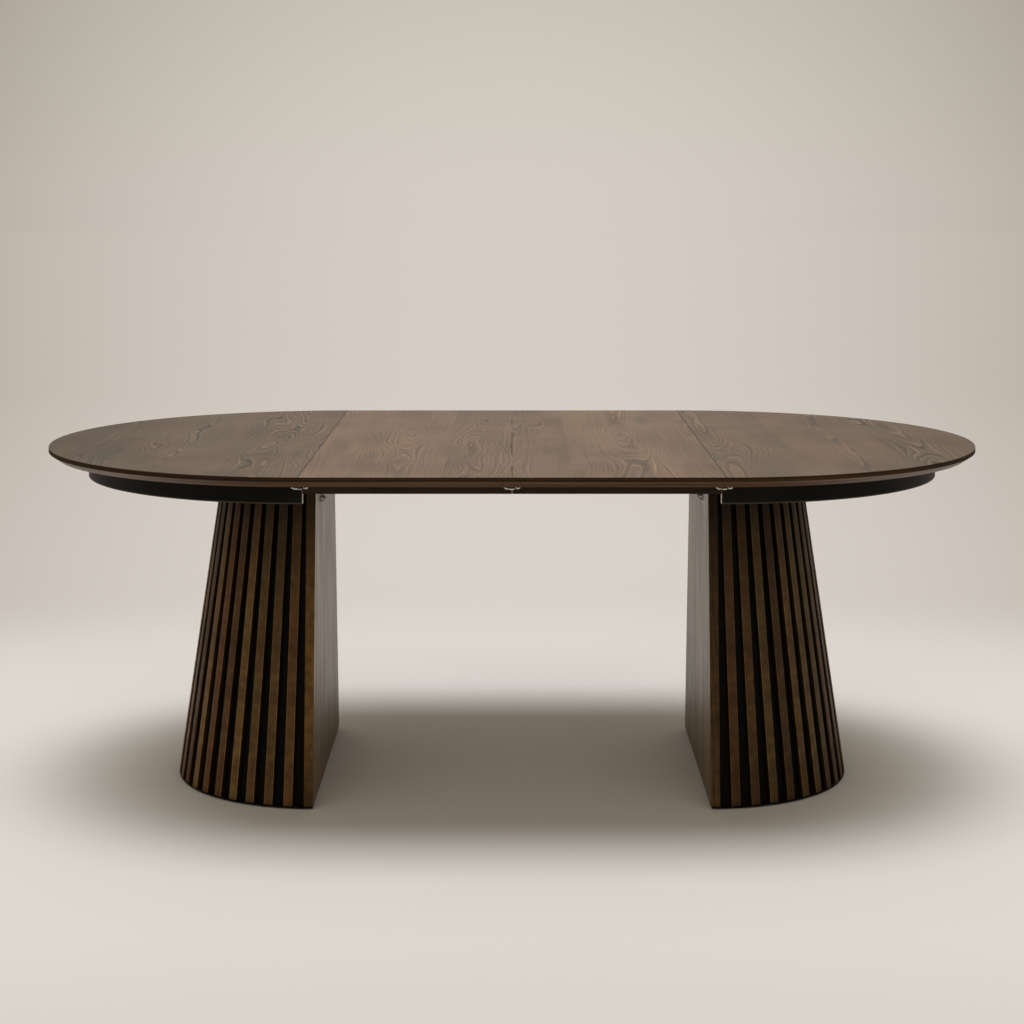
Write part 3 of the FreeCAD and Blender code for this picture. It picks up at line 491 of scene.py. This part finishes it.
def make_board_finish(side):
    """Fine upright streaks on the flat face, with painted shade on its lower part, and on the board's edges
    the look of a slat, with its painted shade near the head.
    """
    material, tree, shader, position = start_finish(f"{side} board oak", STAIN_GLOSS)
    parts = split(tree, position)
    grain = turn_grain(tree, position, "Z")
    seed = 2.0 if side == "left" else 5.0
    face, _, pores = oak_colours(tree, grain, colour(120, 88, 30), colour(52, 36, 10), seed, ring_share=0.8,
                                 strip_width=0.11, spacing=0.0045, swirl=1.2)
    bands = stretched_noise(tree, grain, BOARD_BANDS)
    streaks = stretched_noise(tree, grain, BOARD_STREAKS)
    face = shaded(tree, face, scaled(tree, bands, 0.5, 0.7))
    # Painted shade: the face darker towards the floor, standing for the floor's shadow mirrored in it
    face = shaded(tree, face, ramp(tree, parts["Z"], *BOARD_LOWER_SHADE, before=0.62, after=1.0))

    # The edges that show between the slats, in the slats' look with its painted shade near the head
    at_floor, above = (0.26, 0.72) if side == "left" else (0.51, 0.34)
    edge_level = ramp(tree, parts["Z"], *BOARD_EDGE_FOOT, before=at_floor, after=above, smooth=False)
    edge = slat_colours(tree, position, combine(tree, parts["X"], parts["Z"]), seed, 0.86, edge_level)[0]
    edge = tinted(tree, edge, colour(255, 244, 214))
    behind_face = calc(tree, "SUBTRACT", calc(tree, "ABSOLUTE", parts["X"]), FLAT_FACE)
    on_edge = ramp(tree, behind_face, *CUT_EDGE)

    lacquered = product(tree, scaled(tree, bands, 0.26, 0.48), scaled(tree, streaks, 1.0, 0.5),
                        ramp(tree, parts["Z"], *BOARD_GLOSS_LOWER, before=0.44, after=1.0),
                        calc(tree, "SUBTRACT", 1.0, on_edge))
    fill(tree, shader.inputs["Coat Weight"], lacquered)
    handled = use_group(tree, HANDLED_SURFACE, Position=position)
    rough = scaled(tree, handled["Cloud"], 0.06, 0.42)
    set_look(tree, shader, mix(tree, on_edge, face, edge), rough, pores["Relief"])
    return material


def make_black_stain():
    """Board painted matt black, with faint roller marks."""
    material, tree, shader, position = start_finish("black stain", BLACK_GLOSS)
    handled = use_group(tree, HANDLED_SURFACE, Position=position, Cloud_Pace=7.0, Speck_Pace=600.0)
    tone = mix(tree, handled["Cloud"], colour(6, 5, 4), colour(11, 10, 8))
    set_specked_look(tree, shader, tone, handled["Specks"], *BLACK_SPECKS)
    return material


def make_apron_finish(side):
    """Black bent plywood with a lower edge painted lighter, partly as wear and partly as a painted highlight.
    Its cut ends are left pale, with the plies showing.
    """
    material, tree, shader, position = start_finish(f"{side} apron", BLACK_GLOSS)
    handled = use_group(tree, HANDLED_SURFACE, Position=position, Cloud_Pace=7.0, Speck_Pace=600.0)
    black = mix(tree, handled["Cloud"], colour(13, 13, 8), colour(21, 21, 14))
    parts = split(tree, position)
    low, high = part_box(f"{side}_apron")
    seam_end, sign = (high.x, 1.0) if side == "left" else (low.x, -1.0)
    from_end = product(tree, calc(tree, "SUBTRACT", seam_end, parts["X"]), sign)
    cut = ramp(tree, from_end, *CUT_EDGE, before=1.0, after=0.0)
    ply = calc(tree, "FRACT", product(tree, calc(tree, "ABSOLUTE", parts["Y"]), PLIES_PER_METRE))
    plies = mix(tree, ramp(tree, ply, 0.4, 0.6), colour(240, 230, 212), colour(206, 190, 166))
    # The lower edge: wear and a painted highlight
    start, end = (low.z + above for above in APRON_WEAR_AND_HIGHLIGHT)
    wear_and_highlight = ramp(tree, parts["Z"], start, end, before=0.75, after=0.0)
    tone = mix(tree, cut, mix(tree, wear_and_highlight, black, colour(78, 70, 60)), plies)
    set_specked_look(tree, shader, tone, handled["Specks"], *BLACK_SPECKS)
    return material


def make_zinc():
    """Zinc plate: bright grey with a faint warm bloom and fine scratches."""
    material, tree, shader, position = start_finish("zinc plate")
    handled = use_group(tree, HANDLED_SURFACE, Position=position, Cloud_Pace=60.0, Speck_Pace=900.0)
    tone = mix(tree, handled["Cloud"], colour(214, 210, 202), colour(188, 184, 174))
    shader.inputs["Metallic"].default_value = ZINC_METALLIC
    set_specked_look(tree, shader, tone, handled["Specks"], *ZINC_SPECKS)
    return material


def make_lock_finish():
    """Zinc plate on the lock levers: bright along the finger lip's lower edge, with painted shade above it in
    the corner under the top.
    """
    material, tree, shader, position = start_finish("lock zinc")
    handled = use_group(tree, HANDLED_SURFACE, Position=position, Cloud_Pace=160.0, Speck_Pace=900.0)
    parts = split(tree, position)
    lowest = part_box("left_leaf_front_lock_lever")[0].z
    seam = product(tree, calc(tree, "ROUND", calc(tree, "DIVIDE", parts["X"], OUTER_SEAM)), OUTER_SEAM)
    from_seam = calc(tree, "SUBTRACT", parts["X"], seam)
    edge = calc(tree, "DIVIDE", product(tree, from_seam, from_seam), 2 * LIP_RADIUS)
    above_edge = calc(tree, "SUBTRACT", calc(tree, "SUBTRACT", parts["Z"], lowest), edge)
    painted_lighting = ramp(tree, above_edge, *SHADED_LIP, before=1.0, after=0.0)
    bright = mix(tree, handled["Cloud"], colour(236, 230, 220), colour(150, 142, 130))
    shader.inputs["Metallic"].default_value = ZINC_METALLIC
    # Painted shade: dark above the lip's lower edge, under the top
    tone = mix(tree, painted_lighting, colour(52, 43, 34), bright)
    set_specked_look(tree, shader, tone, handled["Specks"], *ZINC_SPECKS)
    return material


def make_moulded(name, light, dark, rough, speck_pace):
    """Moulded nylon or rubber: near black, with a fine mould grain."""
    material, tree, shader, position = start_finish(name)
    handled = use_group(tree, HANDLED_SURFACE, Position=position, Cloud_Pace=40.0, Speck_Pace=speck_pace)
    tone = mix(tree, handled["Cloud"], dark, light)
    set_specked_look(tree, shader, tone, handled["Specks"], 0.15, rough, 0.2, 0.0001)
    return material


BATTEN = make_plain_wood("batten oak", "X", colour(42, 28, 14), colour(22, 14, 6), 0.5, 4.0)
RUNNER = make_plain_wood("runner beech", "X", colour(112, 82, 54), colour(84, 58, 36), 0.5, 6.0,
                         spacing=0.003, swirl=0.8, ring_share=0.4)
SOFTWOOD = make_plain_wood("bare softwood", "Z", colour(206, 176, 136), colour(170, 130, 88), 0.6, 8.0,
                           spacing=0.0035, swirl=1.0)
DOWEL_BEECH = make_plain_wood("dowel beech", "X", colour(206, 170, 128), colour(180, 138, 96), 0.55, 9.0,
                              spacing=0.002, swirl=0.8)
SLAT = make_slat_finish()
BLACK = make_black_stain()
ZINC = make_zinc()
LOCK_ZINC = make_lock_finish()
NYLON = make_moulded("black nylon", colour(44, 44, 44), colour(30, 30, 30), 0.42, 700.0)
RUBBER = make_moulded("belt rubber", colour(36, 36, 36), colour(22, 22, 22), 0.62, 1200.0)


def start_pattern(name, inputs):
    """Starts a geometry node tree with named inputs, and a material input at the end."""
    tree = bpy.data.node_groups.new(name, "GeometryNodeTree")
    tree.interface.new_socket("Geometry", in_out="INPUT", socket_type="NodeSocketGeometry")
    for label, kind, value in inputs:
        socket = tree.interface.new_socket(label, in_out="INPUT", socket_type="NodeSocket" + kind)
        socket.default_value = value
    tree.interface.new_socket("Material", in_out="INPUT", socket_type="NodeSocketMaterial")
    tree.interface.new_socket("Geometry", in_out="OUTPUT", socket_type="NodeSocketGeometry")
    enter = tree.nodes.new("NodeGroupInput").outputs
    leave = tree.nodes.new("NodeGroupOutput").inputs
    return tree, enter, leave


def size_inputs(sizes):
    """A tree's inputs for a table of sizes."""
    return [(name, "Float", value) for name, value in sizes.items()]


def end_pattern(tree, enter, leave, geometry):
    """Turns the instances into a mesh and gives it its material."""
    whole = result(tree, "GeometryNodeRealizeInstances", {"Geometry": geometry})
    painted = result(tree, "GeometryNodeSetMaterial", {"Geometry": whole, "Material": enter["Material"]})
    fill(tree, leave["Geometry"], painted)


def place_thing(name, data):
    """A new object of the data, in the scene."""
    thing = bpy.data.objects.new(name, data)
    bpy.context.scene.collection.objects.link(thing)
    return thing


def grow(name, tree, base_mesh, values):
    """Runs a tree on a mesh with the given inputs, and keeps the result as a plain mesh at the origin."""
    carrier = place_thing(f"{name}_carrier", base_mesh)
    modifier = carrier.modifiers.new("pattern", "NODES")
    modifier.node_group = tree
    for item in tree.interface.items_tree:
        if item.item_type == "SOCKET" and item.in_out == "INPUT" and item.name in values:
            modifier[item.identifier] = values[item.name]
    scene_state = bpy.context.evaluated_depsgraph_get()
    scene_state.update()
    mesh = bpy.data.meshes.new_from_object(carrier.evaluated_get(scene_state), preserve_all_data_layers=True,
                                           depsgraph=scene_state)
    carrier.modifiers.remove(modifier)
    bpy.data.objects.remove(carrier)
    return place_thing(name, mesh)


def point_mesh(name, places, lengths=()):
    """A mesh of bare points, each with the length of the piece that stands on it."""
    mesh = bpy.data.meshes.new(name)
    mesh.from_pydata([tuple(place) for place in places], [], [])
    if lengths:
        mesh.attributes.new("length", "FLOAT", "POINT").data.foreach_set("value", lengths)
    return mesh


def separate_boxes(node, reach, length):
    """The (low corner, high corner) of a CAD node's solids, which lie further than the reach apart in plan.

    The length is the most that one of them measures from its foot to its head.
    """
    room = (reach, reach, length)
    boxes = []
    for vertex in nodes[node].data.vertices:
        point = vertex.co
        for low, high in boxes:
            if all(low[i] - room[i] < point[i] < high[i] + room[i] for i in range(3)):
                for i in range(3):
                    low[i], high[i] = min(low[i], point[i]), max(high[i], point[i])
                break
        else:
            boxes.append((point.copy(), point.copy()))
    return sorted(boxes, key=lambda pair: (round(pair[0].x, 4), round(pair[0].y, 4)))


def make_slat_pattern():
    """Slats set round a half cone. One slat is swept from foot to head, then turned into each place."""
    tree, given, leave = start_pattern(
        "Slats round a half cone",
        [("Count", "Int", SLATS_PER_HALF), ("First Angle", "Float", 0.0), ("Pitch Angle", "Float", 0.1),
         ("Width", "Float", SLAT_WIDTH), ("Thickness", "Float", SLAT_THICKNESS),
         ("Arris", "Float", SLAT_ARRIS), ("Foot", "Vector", (0.0, 0.0, 0.0)),
         ("Head", "Vector", (0.0, 0.0, 1.0)), ("Centre", "Vector", (0.0, 0.0, 0.0)), ("Seed", "Int", 1)])
    line = result(tree, "GeometryNodeCurvePrimitiveLine", {"Start": given["Foot"], "End": given["Head"]},
                  mode="POINTS")
    outline = result(tree, "GeometryNodeCurvePrimitiveQuadrilateral",
                     {"Width": given["Thickness"], "Height": given["Width"]}, mode="RECTANGLE")
    rounded = result(tree, "GeometryNodeFilletCurve",
                     {"Curve": outline, "Radius": given["Arris"], "Count": 3}, mode="POLY")
    straight = result(tree, "GeometryNodeSetCurveNormal", {"Curve": line, "Normal": (1.0, 0.0, 0.0)},
                      mode="FREE")
    slat = result(tree, "GeometryNodeCurveToMesh", {"Curve": straight, "Profile Curve": rounded,
                                                    "Fill Caps": True})

    # Both ends are cut level, though the slat leans
    position = result(tree, "GeometryNodeInputPosition")
    x, y, z = split(tree, position)
    foot_z = split(tree, given["Foot"])["Z"]
    head_z = split(tree, given["Head"])["Z"]
    upper = calc(tree, "GREATER_THAN", z, product(tree, calc(tree, "ADD", foot_z, head_z), 0.5))
    level = calc(tree, "ADD", product(tree, upper, head_z),
                 product(tree, calc(tree, "SUBTRACT", 1.0, upper), foot_z))
    level_ends = result(tree, "GeometryNodeSetPosition",
                        {"Geometry": slat, "Position": combine(tree, x, y, level)})

    placed = result(tree, "GeometryNodeStoreNamedAttribute",
                    {"Geometry": level_ends, "Name": "slat_place", "Value": position},
                    data_type="FLOAT_VECTOR", domain="POINT")
    points = result(tree, "GeometryNodeMeshLine", {"Count": given["Count"], "Start Location": given["Centre"],
                                                   "Offset": (0.0, 0.0, 0.0)})
    number = result(tree, "GeometryNodeInputIndex")
    angle = scaled(tree, number, given["Pitch Angle"], given["First Angle"])
    turn = result(tree, "ShaderNodeCombineXYZ", {"Z": angle})
    around = set_at_points(tree, points, placed, Rotation=turn)
    tone = add(tree, "FunctionNodeRandomValue", {"ID": number, "Seed": given["Seed"]},
               data_type="FLOAT").outputs[1]
    toned = result(tree, "GeometryNodeStoreNamedAttribute",
                   {"Geometry": around, "Name": "slat_tone", "Value": tone},
                   data_type="FLOAT", domain="INSTANCE")
    end_pattern(tree, given, leave, toned)
    return tree


def add_peg(tree, sides, width, length, edge, flutes=0.0, flute_depth=0.0):
    """A peg that stands on z = 0, with chamfered ends and, if wanted, flutes along it."""
    rod = result(tree, "GeometryNodeMeshCylinder",
                 {"Vertices": sides, "Side Segments": 3, "Radius": 1.0, "Depth": 1.0}, fill_type="NGON")
    x, y, z = split(tree, result(tree, "GeometryNodeInputPosition"))

    # Of the four rings of points, the end ones bound the faces and the two between them start the chamfers
    at_end = calc(tree, "GREATER_THAN", calc(tree, "ABSOLUTE", z), 0.4)
    upper = calc(tree, "GREATER_THAN", z, 0.0)
    inward = product(tree, calc(tree, "SUBTRACT", 1.0, product(tree, upper, 2.0)), edge)
    level = calc(tree, "ADD", product(tree, upper, length),
                 product(tree, inward, calc(tree, "SUBTRACT", 1.0, at_end)))

    wave = calc(tree, "COSINE", product(tree, calc(tree, "ARCTAN2", y, x), flutes))
    hollow = product(tree, calc(tree, "GREATER_THAN", wave, 0.2), flute_depth)
    radius = calc(tree, "SUBTRACT", product(tree, width, 0.5), product(tree, at_end, edge))
    reach = calc(tree, "SUBTRACT", radius, hollow)
    place = combine(tree, product(tree, x, reach), product(tree, y, reach), level)
    return result(tree, "GeometryNodeSetPosition", {"Geometry": rod, "Position": place})


def set_at_points(tree, points, geometry, **sockets):
    """The geometry as instances on the points."""
    return result(tree, "GeometryNodeInstanceOnPoints", {"Points": points, "Instance": geometry, **sockets})


def joined(tree, *parts):
    """Several geometries in one."""
    join = tree.nodes.new("GeometryNodeJoinGeometry")
    for part in reversed(parts):
        tree.links.new(part, join.inputs[0])
    return join.outputs[0]


def make_screw_pattern():
    """Countersunk screws, head down: a cross recess in each head, and a shank as long as its point says."""
    tree, given, leave = start_pattern("Countersunk screws", size_inputs(SCREW_SIZES))
    head = result(tree, "GeometryNodeMeshCone",
                  {"Vertices": 32, "Radius Bottom": product(tree, given["Head Width"], 0.5),
                   "Radius Top": product(tree, given["Shank Width"], 0.5),
                   "Depth": given["Head Height"]}, fill_type="NGON")
    cut = add(tree, "GeometryNodeMeshBoolean", {"Mesh 1": head}, operation="DIFFERENCE", solver="EXACT")
    double_depth = product(tree, given["Recess Depth"], 2.0)
    for across, along in (("Recess Width", "Recess Slot"), ("Recess Slot", "Recess Width")):
        size = combine(tree, given[across], given[along], double_depth)
        fill(tree, cut.inputs["Mesh 2"], result(tree, "GeometryNodeMeshCube", {"Size": size}))
    shank = add_peg(tree, 12, given["Shank Width"], 1.0, 0.0)
    length = result(tree, "GeometryNodeInputNamedAttribute", {"Name": "length"}, data_type="FLOAT")
    shank_length = calc(tree, "SUBTRACT", length, given["Head Height"])
    necks = result(tree, "GeometryNodeSetPosition",
                   {"Geometry": given["Geometry"],
                    "Offset": result(tree, "ShaderNodeCombineXYZ", {"Z": given["Head Height"]})})
    heads = set_at_points(tree, given["Geometry"], cut.outputs["Mesh"])
    shanks = set_at_points(tree, necks, shank, Scale=combine(tree, 1.0, 1.0, shank_length))
    end_pattern(tree, given, leave, joined(tree, heads, shanks))
    return tree


def make_glide_pattern():
    """Floor glides: a round pad with eased edges, on a nail that goes up into the base."""
    tree, given, leave = start_pattern("Floor glides", size_inputs(GLIDE_SIZES))
    pad = add_peg(tree, 48, given["Pad Width"], given["Pad Height"], given["Pad Edge"])
    nail = add_peg(tree, 16, given["Nail Width"], given["Nail Length"], given["Nail Edge"])
    lift = result(tree, "ShaderNodeCombineXYZ", {"Z": given["Pad Height"]})
    raised = result(tree, "GeometryNodeTransform", {"Geometry": nail, "Translation": lift})
    end_pattern(tree, given, leave, set_at_points(tree, given["Geometry"], joined(tree, pad, raised)))
    return tree


def make_dowel_pattern():
    """Fluted dowels lying along X, with chamfered ends."""
    tree, given, leave = start_pattern("Fluted dowels", size_inputs(DOWEL_SIZES))
    dowel = add_peg(tree, 72, *(given[name] for name in DOWEL_SIZES))
    lying = set_at_points(tree, given["Geometry"], dowel, Rotation=(0.0, math.pi / 2, 0.0))
    end_pattern(tree, given, leave, lying)
    return tree


SLAT_PATTERN = make_slat_pattern()
SCREW_PATTERN = make_screw_pattern()
GLIDE_PATTERN = make_glide_pattern()
DOWEL_PATTERN = make_dowel_pattern()


def keep_with(piece, body, node):
    """The piece rides on the body and stands for the CAD node."""
    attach(piece, body)
    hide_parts(node)


def make_slats(side):
    """The slats of one half cone, in place of the CAD slats."""
    node = f"{side}_base_slats"
    low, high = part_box(node)
    inward = SLAT_THICKNESS / 2 / math.cos(math.atan(BASE_TAPER))

    def centre_line(height):
        return (BASE_FLOOR_RADIUS - BASE_TAPER * height - inward, 0.0, height)

    pitch = (math.pi - 2 * SLAT_FIRST_ANGLE) / (SLATS_PER_HALF - 1)
    start, flat_face, seed = (math.pi / 2, -FLAT_FACE, 3) if side == "left" else (-math.pi / 2, FLAT_FACE, 8)
    piece = grow(f"{side}_slats", SLAT_PATTERN, point_mesh("slat start", [(0, 0, 0)]), {
        "Count": SLATS_PER_HALF, "First Angle": start + SLAT_FIRST_ANGLE, "Pitch Angle": pitch,
        "Width": SLAT_WIDTH, "Thickness": SLAT_THICKNESS, "Arris": SLAT_ARRIS,
        "Foot": centre_line(low.z), "Head": centre_line(high.z),
        "Centre": (flat_face, 0.0, 0.0), "Seed": seed, "Material": SLAT})
    keep_with(piece, f"{side}_half", node)


def foot_centres(boxes):
    """The middle of each box's lower face."""
    return [((low.x + high.x) / 2, (low.y + high.y) / 2, low.z) for low, high in boxes]


def make_screws(node, body, name):
    """A node's screws, each from its own head's face up to its own tip."""
    boxes = separate_boxes(node, reach=0.018, length=0.1)
    lengths = [high.z - low.z for low, high in boxes]
    piece = grow(name, SCREW_PATTERN, point_mesh(name, foot_centres(boxes), lengths),
                 SCREW_SIZES | {"Head Width": boxes[0][1].x - boxes[0][0].x, "Material": ZINC})
    keep_with(piece, body, node)


def make_glides(side):
    """The floor glides of one half cone."""
    node = f"{side}_floor_glides"
    boxes = separate_boxes(node, reach=0.035, length=0.05)
    low, high = boxes[0]
    nail_length = high.z - low.z - GLIDE_SIZES["Pad Height"]
    piece = grow(f"{side}_glides", GLIDE_PATTERN, point_mesh("glide places", foot_centres(boxes)),
                 GLIDE_SIZES | {"Pad Width": high.x - low.x, "Nail Length": nail_length, "Material": NYLON})
    keep_with(piece, f"{side}_half", node)


def make_dowels(node, body):
    """The dowels that one panel carries along a seam."""
    boxes = separate_boxes(node, reach=0.03, length=0.03)
    places = [(low.x, (low.y + high.y) / 2, (low.z + high.z) / 2) for low, high in boxes]
    low, high = boxes[0]
    piece = grow(node + "_fluted", DOWEL_PATTERN, point_mesh("dowel places", places), DOWEL_SIZES | {
        "Width": high.y - low.y, "Length": high.x - low.x, "Material": DOWEL_BEECH})
    keep_with(piece, body, node)


def paint(node, material):
    """Gives a CAD node one finish."""
    mesh = nodes[node].data
    mesh.materials.clear()
    mesh.materials.append(material)


# Each panel's seed, its face's brightness by the middle and by the end, where painted shade darkens it, and
# the strength of its figure
PANEL_LOOKS = {"left_top": (1.7, 0.97, 0.5, 1.25), "left_leaf": (4.0, 1.24, 1.24, 0.7),
               "right_leaf": (6.3, 1.25, 1.25, 0.72), "right_top": (8.6, 1.05, 0.79, 1.3)}
for panel in TOP_PANELS:
    paint(panel, make_panel_finish(panel.replace("_", " ") + " oak", *PANEL_LOOKS[panel]))

for side in SIDES:
    paint(f"{side}_apron", make_apron_finish(side))
    paint(f"{side}_base_inner_board", make_board_finish(side))
    for part in ("base_shell", "base_bottom_plate", "base_mount_plate"):
        paint(f"{side}_{part}", BLACK)
    for part in ("apron_blocks", "base_formers"):
        paint(f"{side}_{part}", SOFTWOOD)
    for part in ("front_runner", "rear_runner"):
        paint(f"{side}_{part}", RUNNER)
    for part in ("locating_pin_and_cup", "belt_clamps", "runner_stop_plates"):
        paint(f"{side}_{part}", ZINC)
    make_screws(f"{side}_underside_screws", f"{side}_half", f"{side}_screws")
    make_glides(side)
    paint(f"{side}_leaf_battens", BATTEN)
    make_slats(side)

for node, body in (("right_top_dowels", "right_half"), ("left_leaf_dowels", "leaf_left"),
                   ("right_leaf_dowels", "leaf_right")):
    make_dowels(node, body)
for name in ("left_top_lock_plates", "left_leaf_lock_plates", "right_leaf_lock_plates",
             "left_leaf_lock_keepers", "right_leaf_lock_keepers", "right_top_lock_keepers",
             "pulley_axles", "runner_stop_screws"):
    paint(name, ZINC)
for holder in ("left_top", "left_leaf", "right_leaf"):
    for end in ("front", "rear"):
        paint(f"{holder}_{end}_lock_lever", LOCK_ZINC)
for end in ("front", "rear"):
    paint(f"{end}_centre_runner", RUNNER)
    for side in SIDES:
        paint(f"{end}_{side}_pulley", NYLON)
paint("runner_belts", RUBBER)


# The photograph's view: metres, degrees, millimetres of lens, and shift in widths of the picture
CAMERA_DISTANCE = 4.7270
CAMERA_HEIGHT = 1.3419
CAMERA_PITCH = 3.0
CAMERA_LENS = 72.30
CAMERA_SHIFT = -0.2099

# Light on a level surface from the lamps and from all round, where 1 shows a colour as it is written
LAMP_LEVEL = 0.61
AMBIENT_LEVEL = 0.46
AMBIENT_SPREAD = 0.9
AMBIENT_FRONT = 0.2
AMBIENT_LEFT = 0.15

# Each lamp's name, its turn about Y in degrees and its share of the light, then the width and the turn
# about X that all three have
LAMPS = (("left", -8.0, 0.42), ("middle", 0.0, 0.33), ("right", 8.0, 0.25))
LAMP_SPREAD = 29.0
LAMP_TILT = 0.3

# The painted shade that darkens the background and floor towards the sides is 1 at this spread, the picture's
# edge, and stops at a limit
SIDE_SPREAD = 0.243
SIDE_LIMIT = 1.3

# How far the floor goes from the table on each side
FLOOR_REACH = 60.0


def painted_side_shade(tree, sideways, forward):
    """How much painted shade darkens the background and floor towards the picture's sides, by sideways over
    forward.
    """
    spread = calc(tree, "DIVIDE", calc(tree, "ABSOLUTE", sideways), calc(tree, "MAXIMUM", forward, 0.001))
    share = calc(tree, "DIVIDE", spread, SIDE_SPREAD)
    return calc(tree, "MINIMUM", product(tree, share, share), SIDE_LIMIT)


def make_floor():
    """A wide pale floor. Its tone settles to that of the background far away, so no horizon shows."""
    material, tree, shader, position = start_finish("studio floor", gloss=0.1)
    x, y, _ = split(tree, position)
    # Painted light and shade: lighter round the table, darker far in front, further back and towards the
    # picture's sides
    tone = colour(215, 213, 212)
    for start, end, next_tone in ((-1.5, -1.05, colour(222, 220, 219)), (1.15, 2.1, colour(213, 210, 209)),
                                  (2.1, 9.0, colour(208, 204, 203))):
        tone = mix(tree, ramp(tree, y, start, end), tone, next_tone)
    depth = calc(tree, "ADD", ramp(tree, y, 0.5, 2.0, before=0.0, after=0.65),
                 ramp(tree, y, 2.0, 9.0, before=0.0, after=0.37, smooth=False))
    side_shade = product(tree, painted_side_shade(tree, x, calc(tree, "ADD", y, CAMERA_DISTANCE)), depth)
    tone = mix(tree, calc(tree, "MULTIPLY", side_shade, 0.72, clamp=True), tone, colour(177, 172, 166))
    handled = use_group(tree, HANDLED_SURFACE, Position=position, Cloud_Pace=1.2, Speck_Pace=90.0)
    tone = mix(tree, product(tree, handled["Cloud"], 0.02), tone, colour(200, 194, 184))
    fill(tree, shader.inputs["Base Color"], tone)
    fill(tree, shader.inputs["Roughness"], 0.9)
    mesh = bpy.data.meshes.new("studio floor")
    mesh.from_pydata([(across * FLOOR_REACH, back * FLOOR_REACH, 0)
                      for across, back in ((-1, -1), (1, -1), (1, 1), (-1, 1))], [], [(0, 1, 2, 3)])
    mesh.materials.append(material)
    place_thing("studio_floor", mesh)


def make_background():
    """A plain pale surround that lights the table softly, with its own tone behind it and in its gloss."""
    world = bpy.data.worlds.new("studio")
    bpy.context.scene.world = world
    world.use_nodes = True
    tree = world.node_tree
    tree.nodes.clear()
    x, y, z = split(tree, tree.nodes.new("ShaderNodeTexCoord").outputs["Generated"])

    # The light: less from the two sides, more from the front and the left
    spread = calc(tree, "SUBTRACT", product(tree, y, y), product(tree, x, x))
    strength = scaled(tree, spread, AMBIENT_LEVEL * AMBIENT_SPREAD, AMBIENT_LEVEL)
    strength = scaled(tree, y, -AMBIENT_LEVEL * AMBIENT_FRONT, strength)
    strength = scaled(tree, x, -AMBIENT_LEVEL * AMBIENT_LEFT, strength)
    strength = calc(tree, "MAXIMUM", strength, 0.0)
    ambient = result(tree, "ShaderNodeBackground", {"Color": colour(255, 243, 222), "Strength": strength})

    # What is seen: three tones from the horizon up, with painted shade darker towards the sides and overhead
    low_rise = ramp(tree, z, 0.0, 0.09, smooth=False)
    middle = mix(tree, low_rise, colour(213, 205, 196), colour(206, 200, 188))
    high = mix(tree, ramp(tree, z, 0.09, 0.3), middle, colour(190, 183, 171))
    side = mix(tree, low_rise, colour(181, 173, 162), colour(168, 160, 147))
    side_shade = painted_side_shade(tree, x, calc(tree, "ABSOLUTE", y))
    tone = mix(tree, calc(tree, "MULTIPLY", side_shade, 0.77, clamp=True), high, side)
    shaded_overhead = mix(tree, ramp(tree, z, 0.0, 0.3, before=0.0, after=0.35), tone, colour(150, 143, 131))
    seen = result(tree, "ShaderNodeBackground", {"Color": shaded_overhead, "Strength": 1.0})

    rays = tree.nodes.new("ShaderNodeLightPath").outputs
    mirrored = calc(tree, "MAXIMUM", rays["Is Glossy Ray"], rays["Is Transmission Ray"])
    plain = calc(tree, "MAXIMUM", rays["Is Camera Ray"], mirrored)
    both = result(tree, "ShaderNodeMixShader", {0: plain, 1: ambient, 2: seen})
    add(tree, "ShaderNodeOutputWorld", {"Surface": both})


def make_lamps():
    """A long soft light above, in three parts side by side along the table, the left one strongest."""
    for place, lean, share in LAMPS:
        lamp = bpy.data.lights.new(f"{place} softbox", "SUN")
        lamp.energy = LAMP_LEVEL * share * math.pi
        lamp.angle = math.radians(LAMP_SPREAD)
        holder = place_thing(f"{place}_softbox", lamp)
        holder.rotation_euler = (math.radians(LAMP_TILT), math.radians(lean), 0.0)


def make_camera():
    """The photograph's view: level with a small pitch down and the rest of the framing by shift."""
    camera = bpy.data.cameras.new("front view")
    camera.lens = CAMERA_LENS
    camera.shift_y = CAMERA_SHIFT
    holder = place_thing("front_view", camera)
    holder.location = (0.0, -CAMERA_DISTANCE, CAMERA_HEIGHT)
    holder.rotation_euler = (math.radians(90.0 - CAMERA_PITCH), 0.0, 0.0)
    bpy.context.scene.camera = holder


make_floor()
make_background()
make_lamps()
make_camera()
bpy.context.scene.view_settings.view_transform = "Standard"
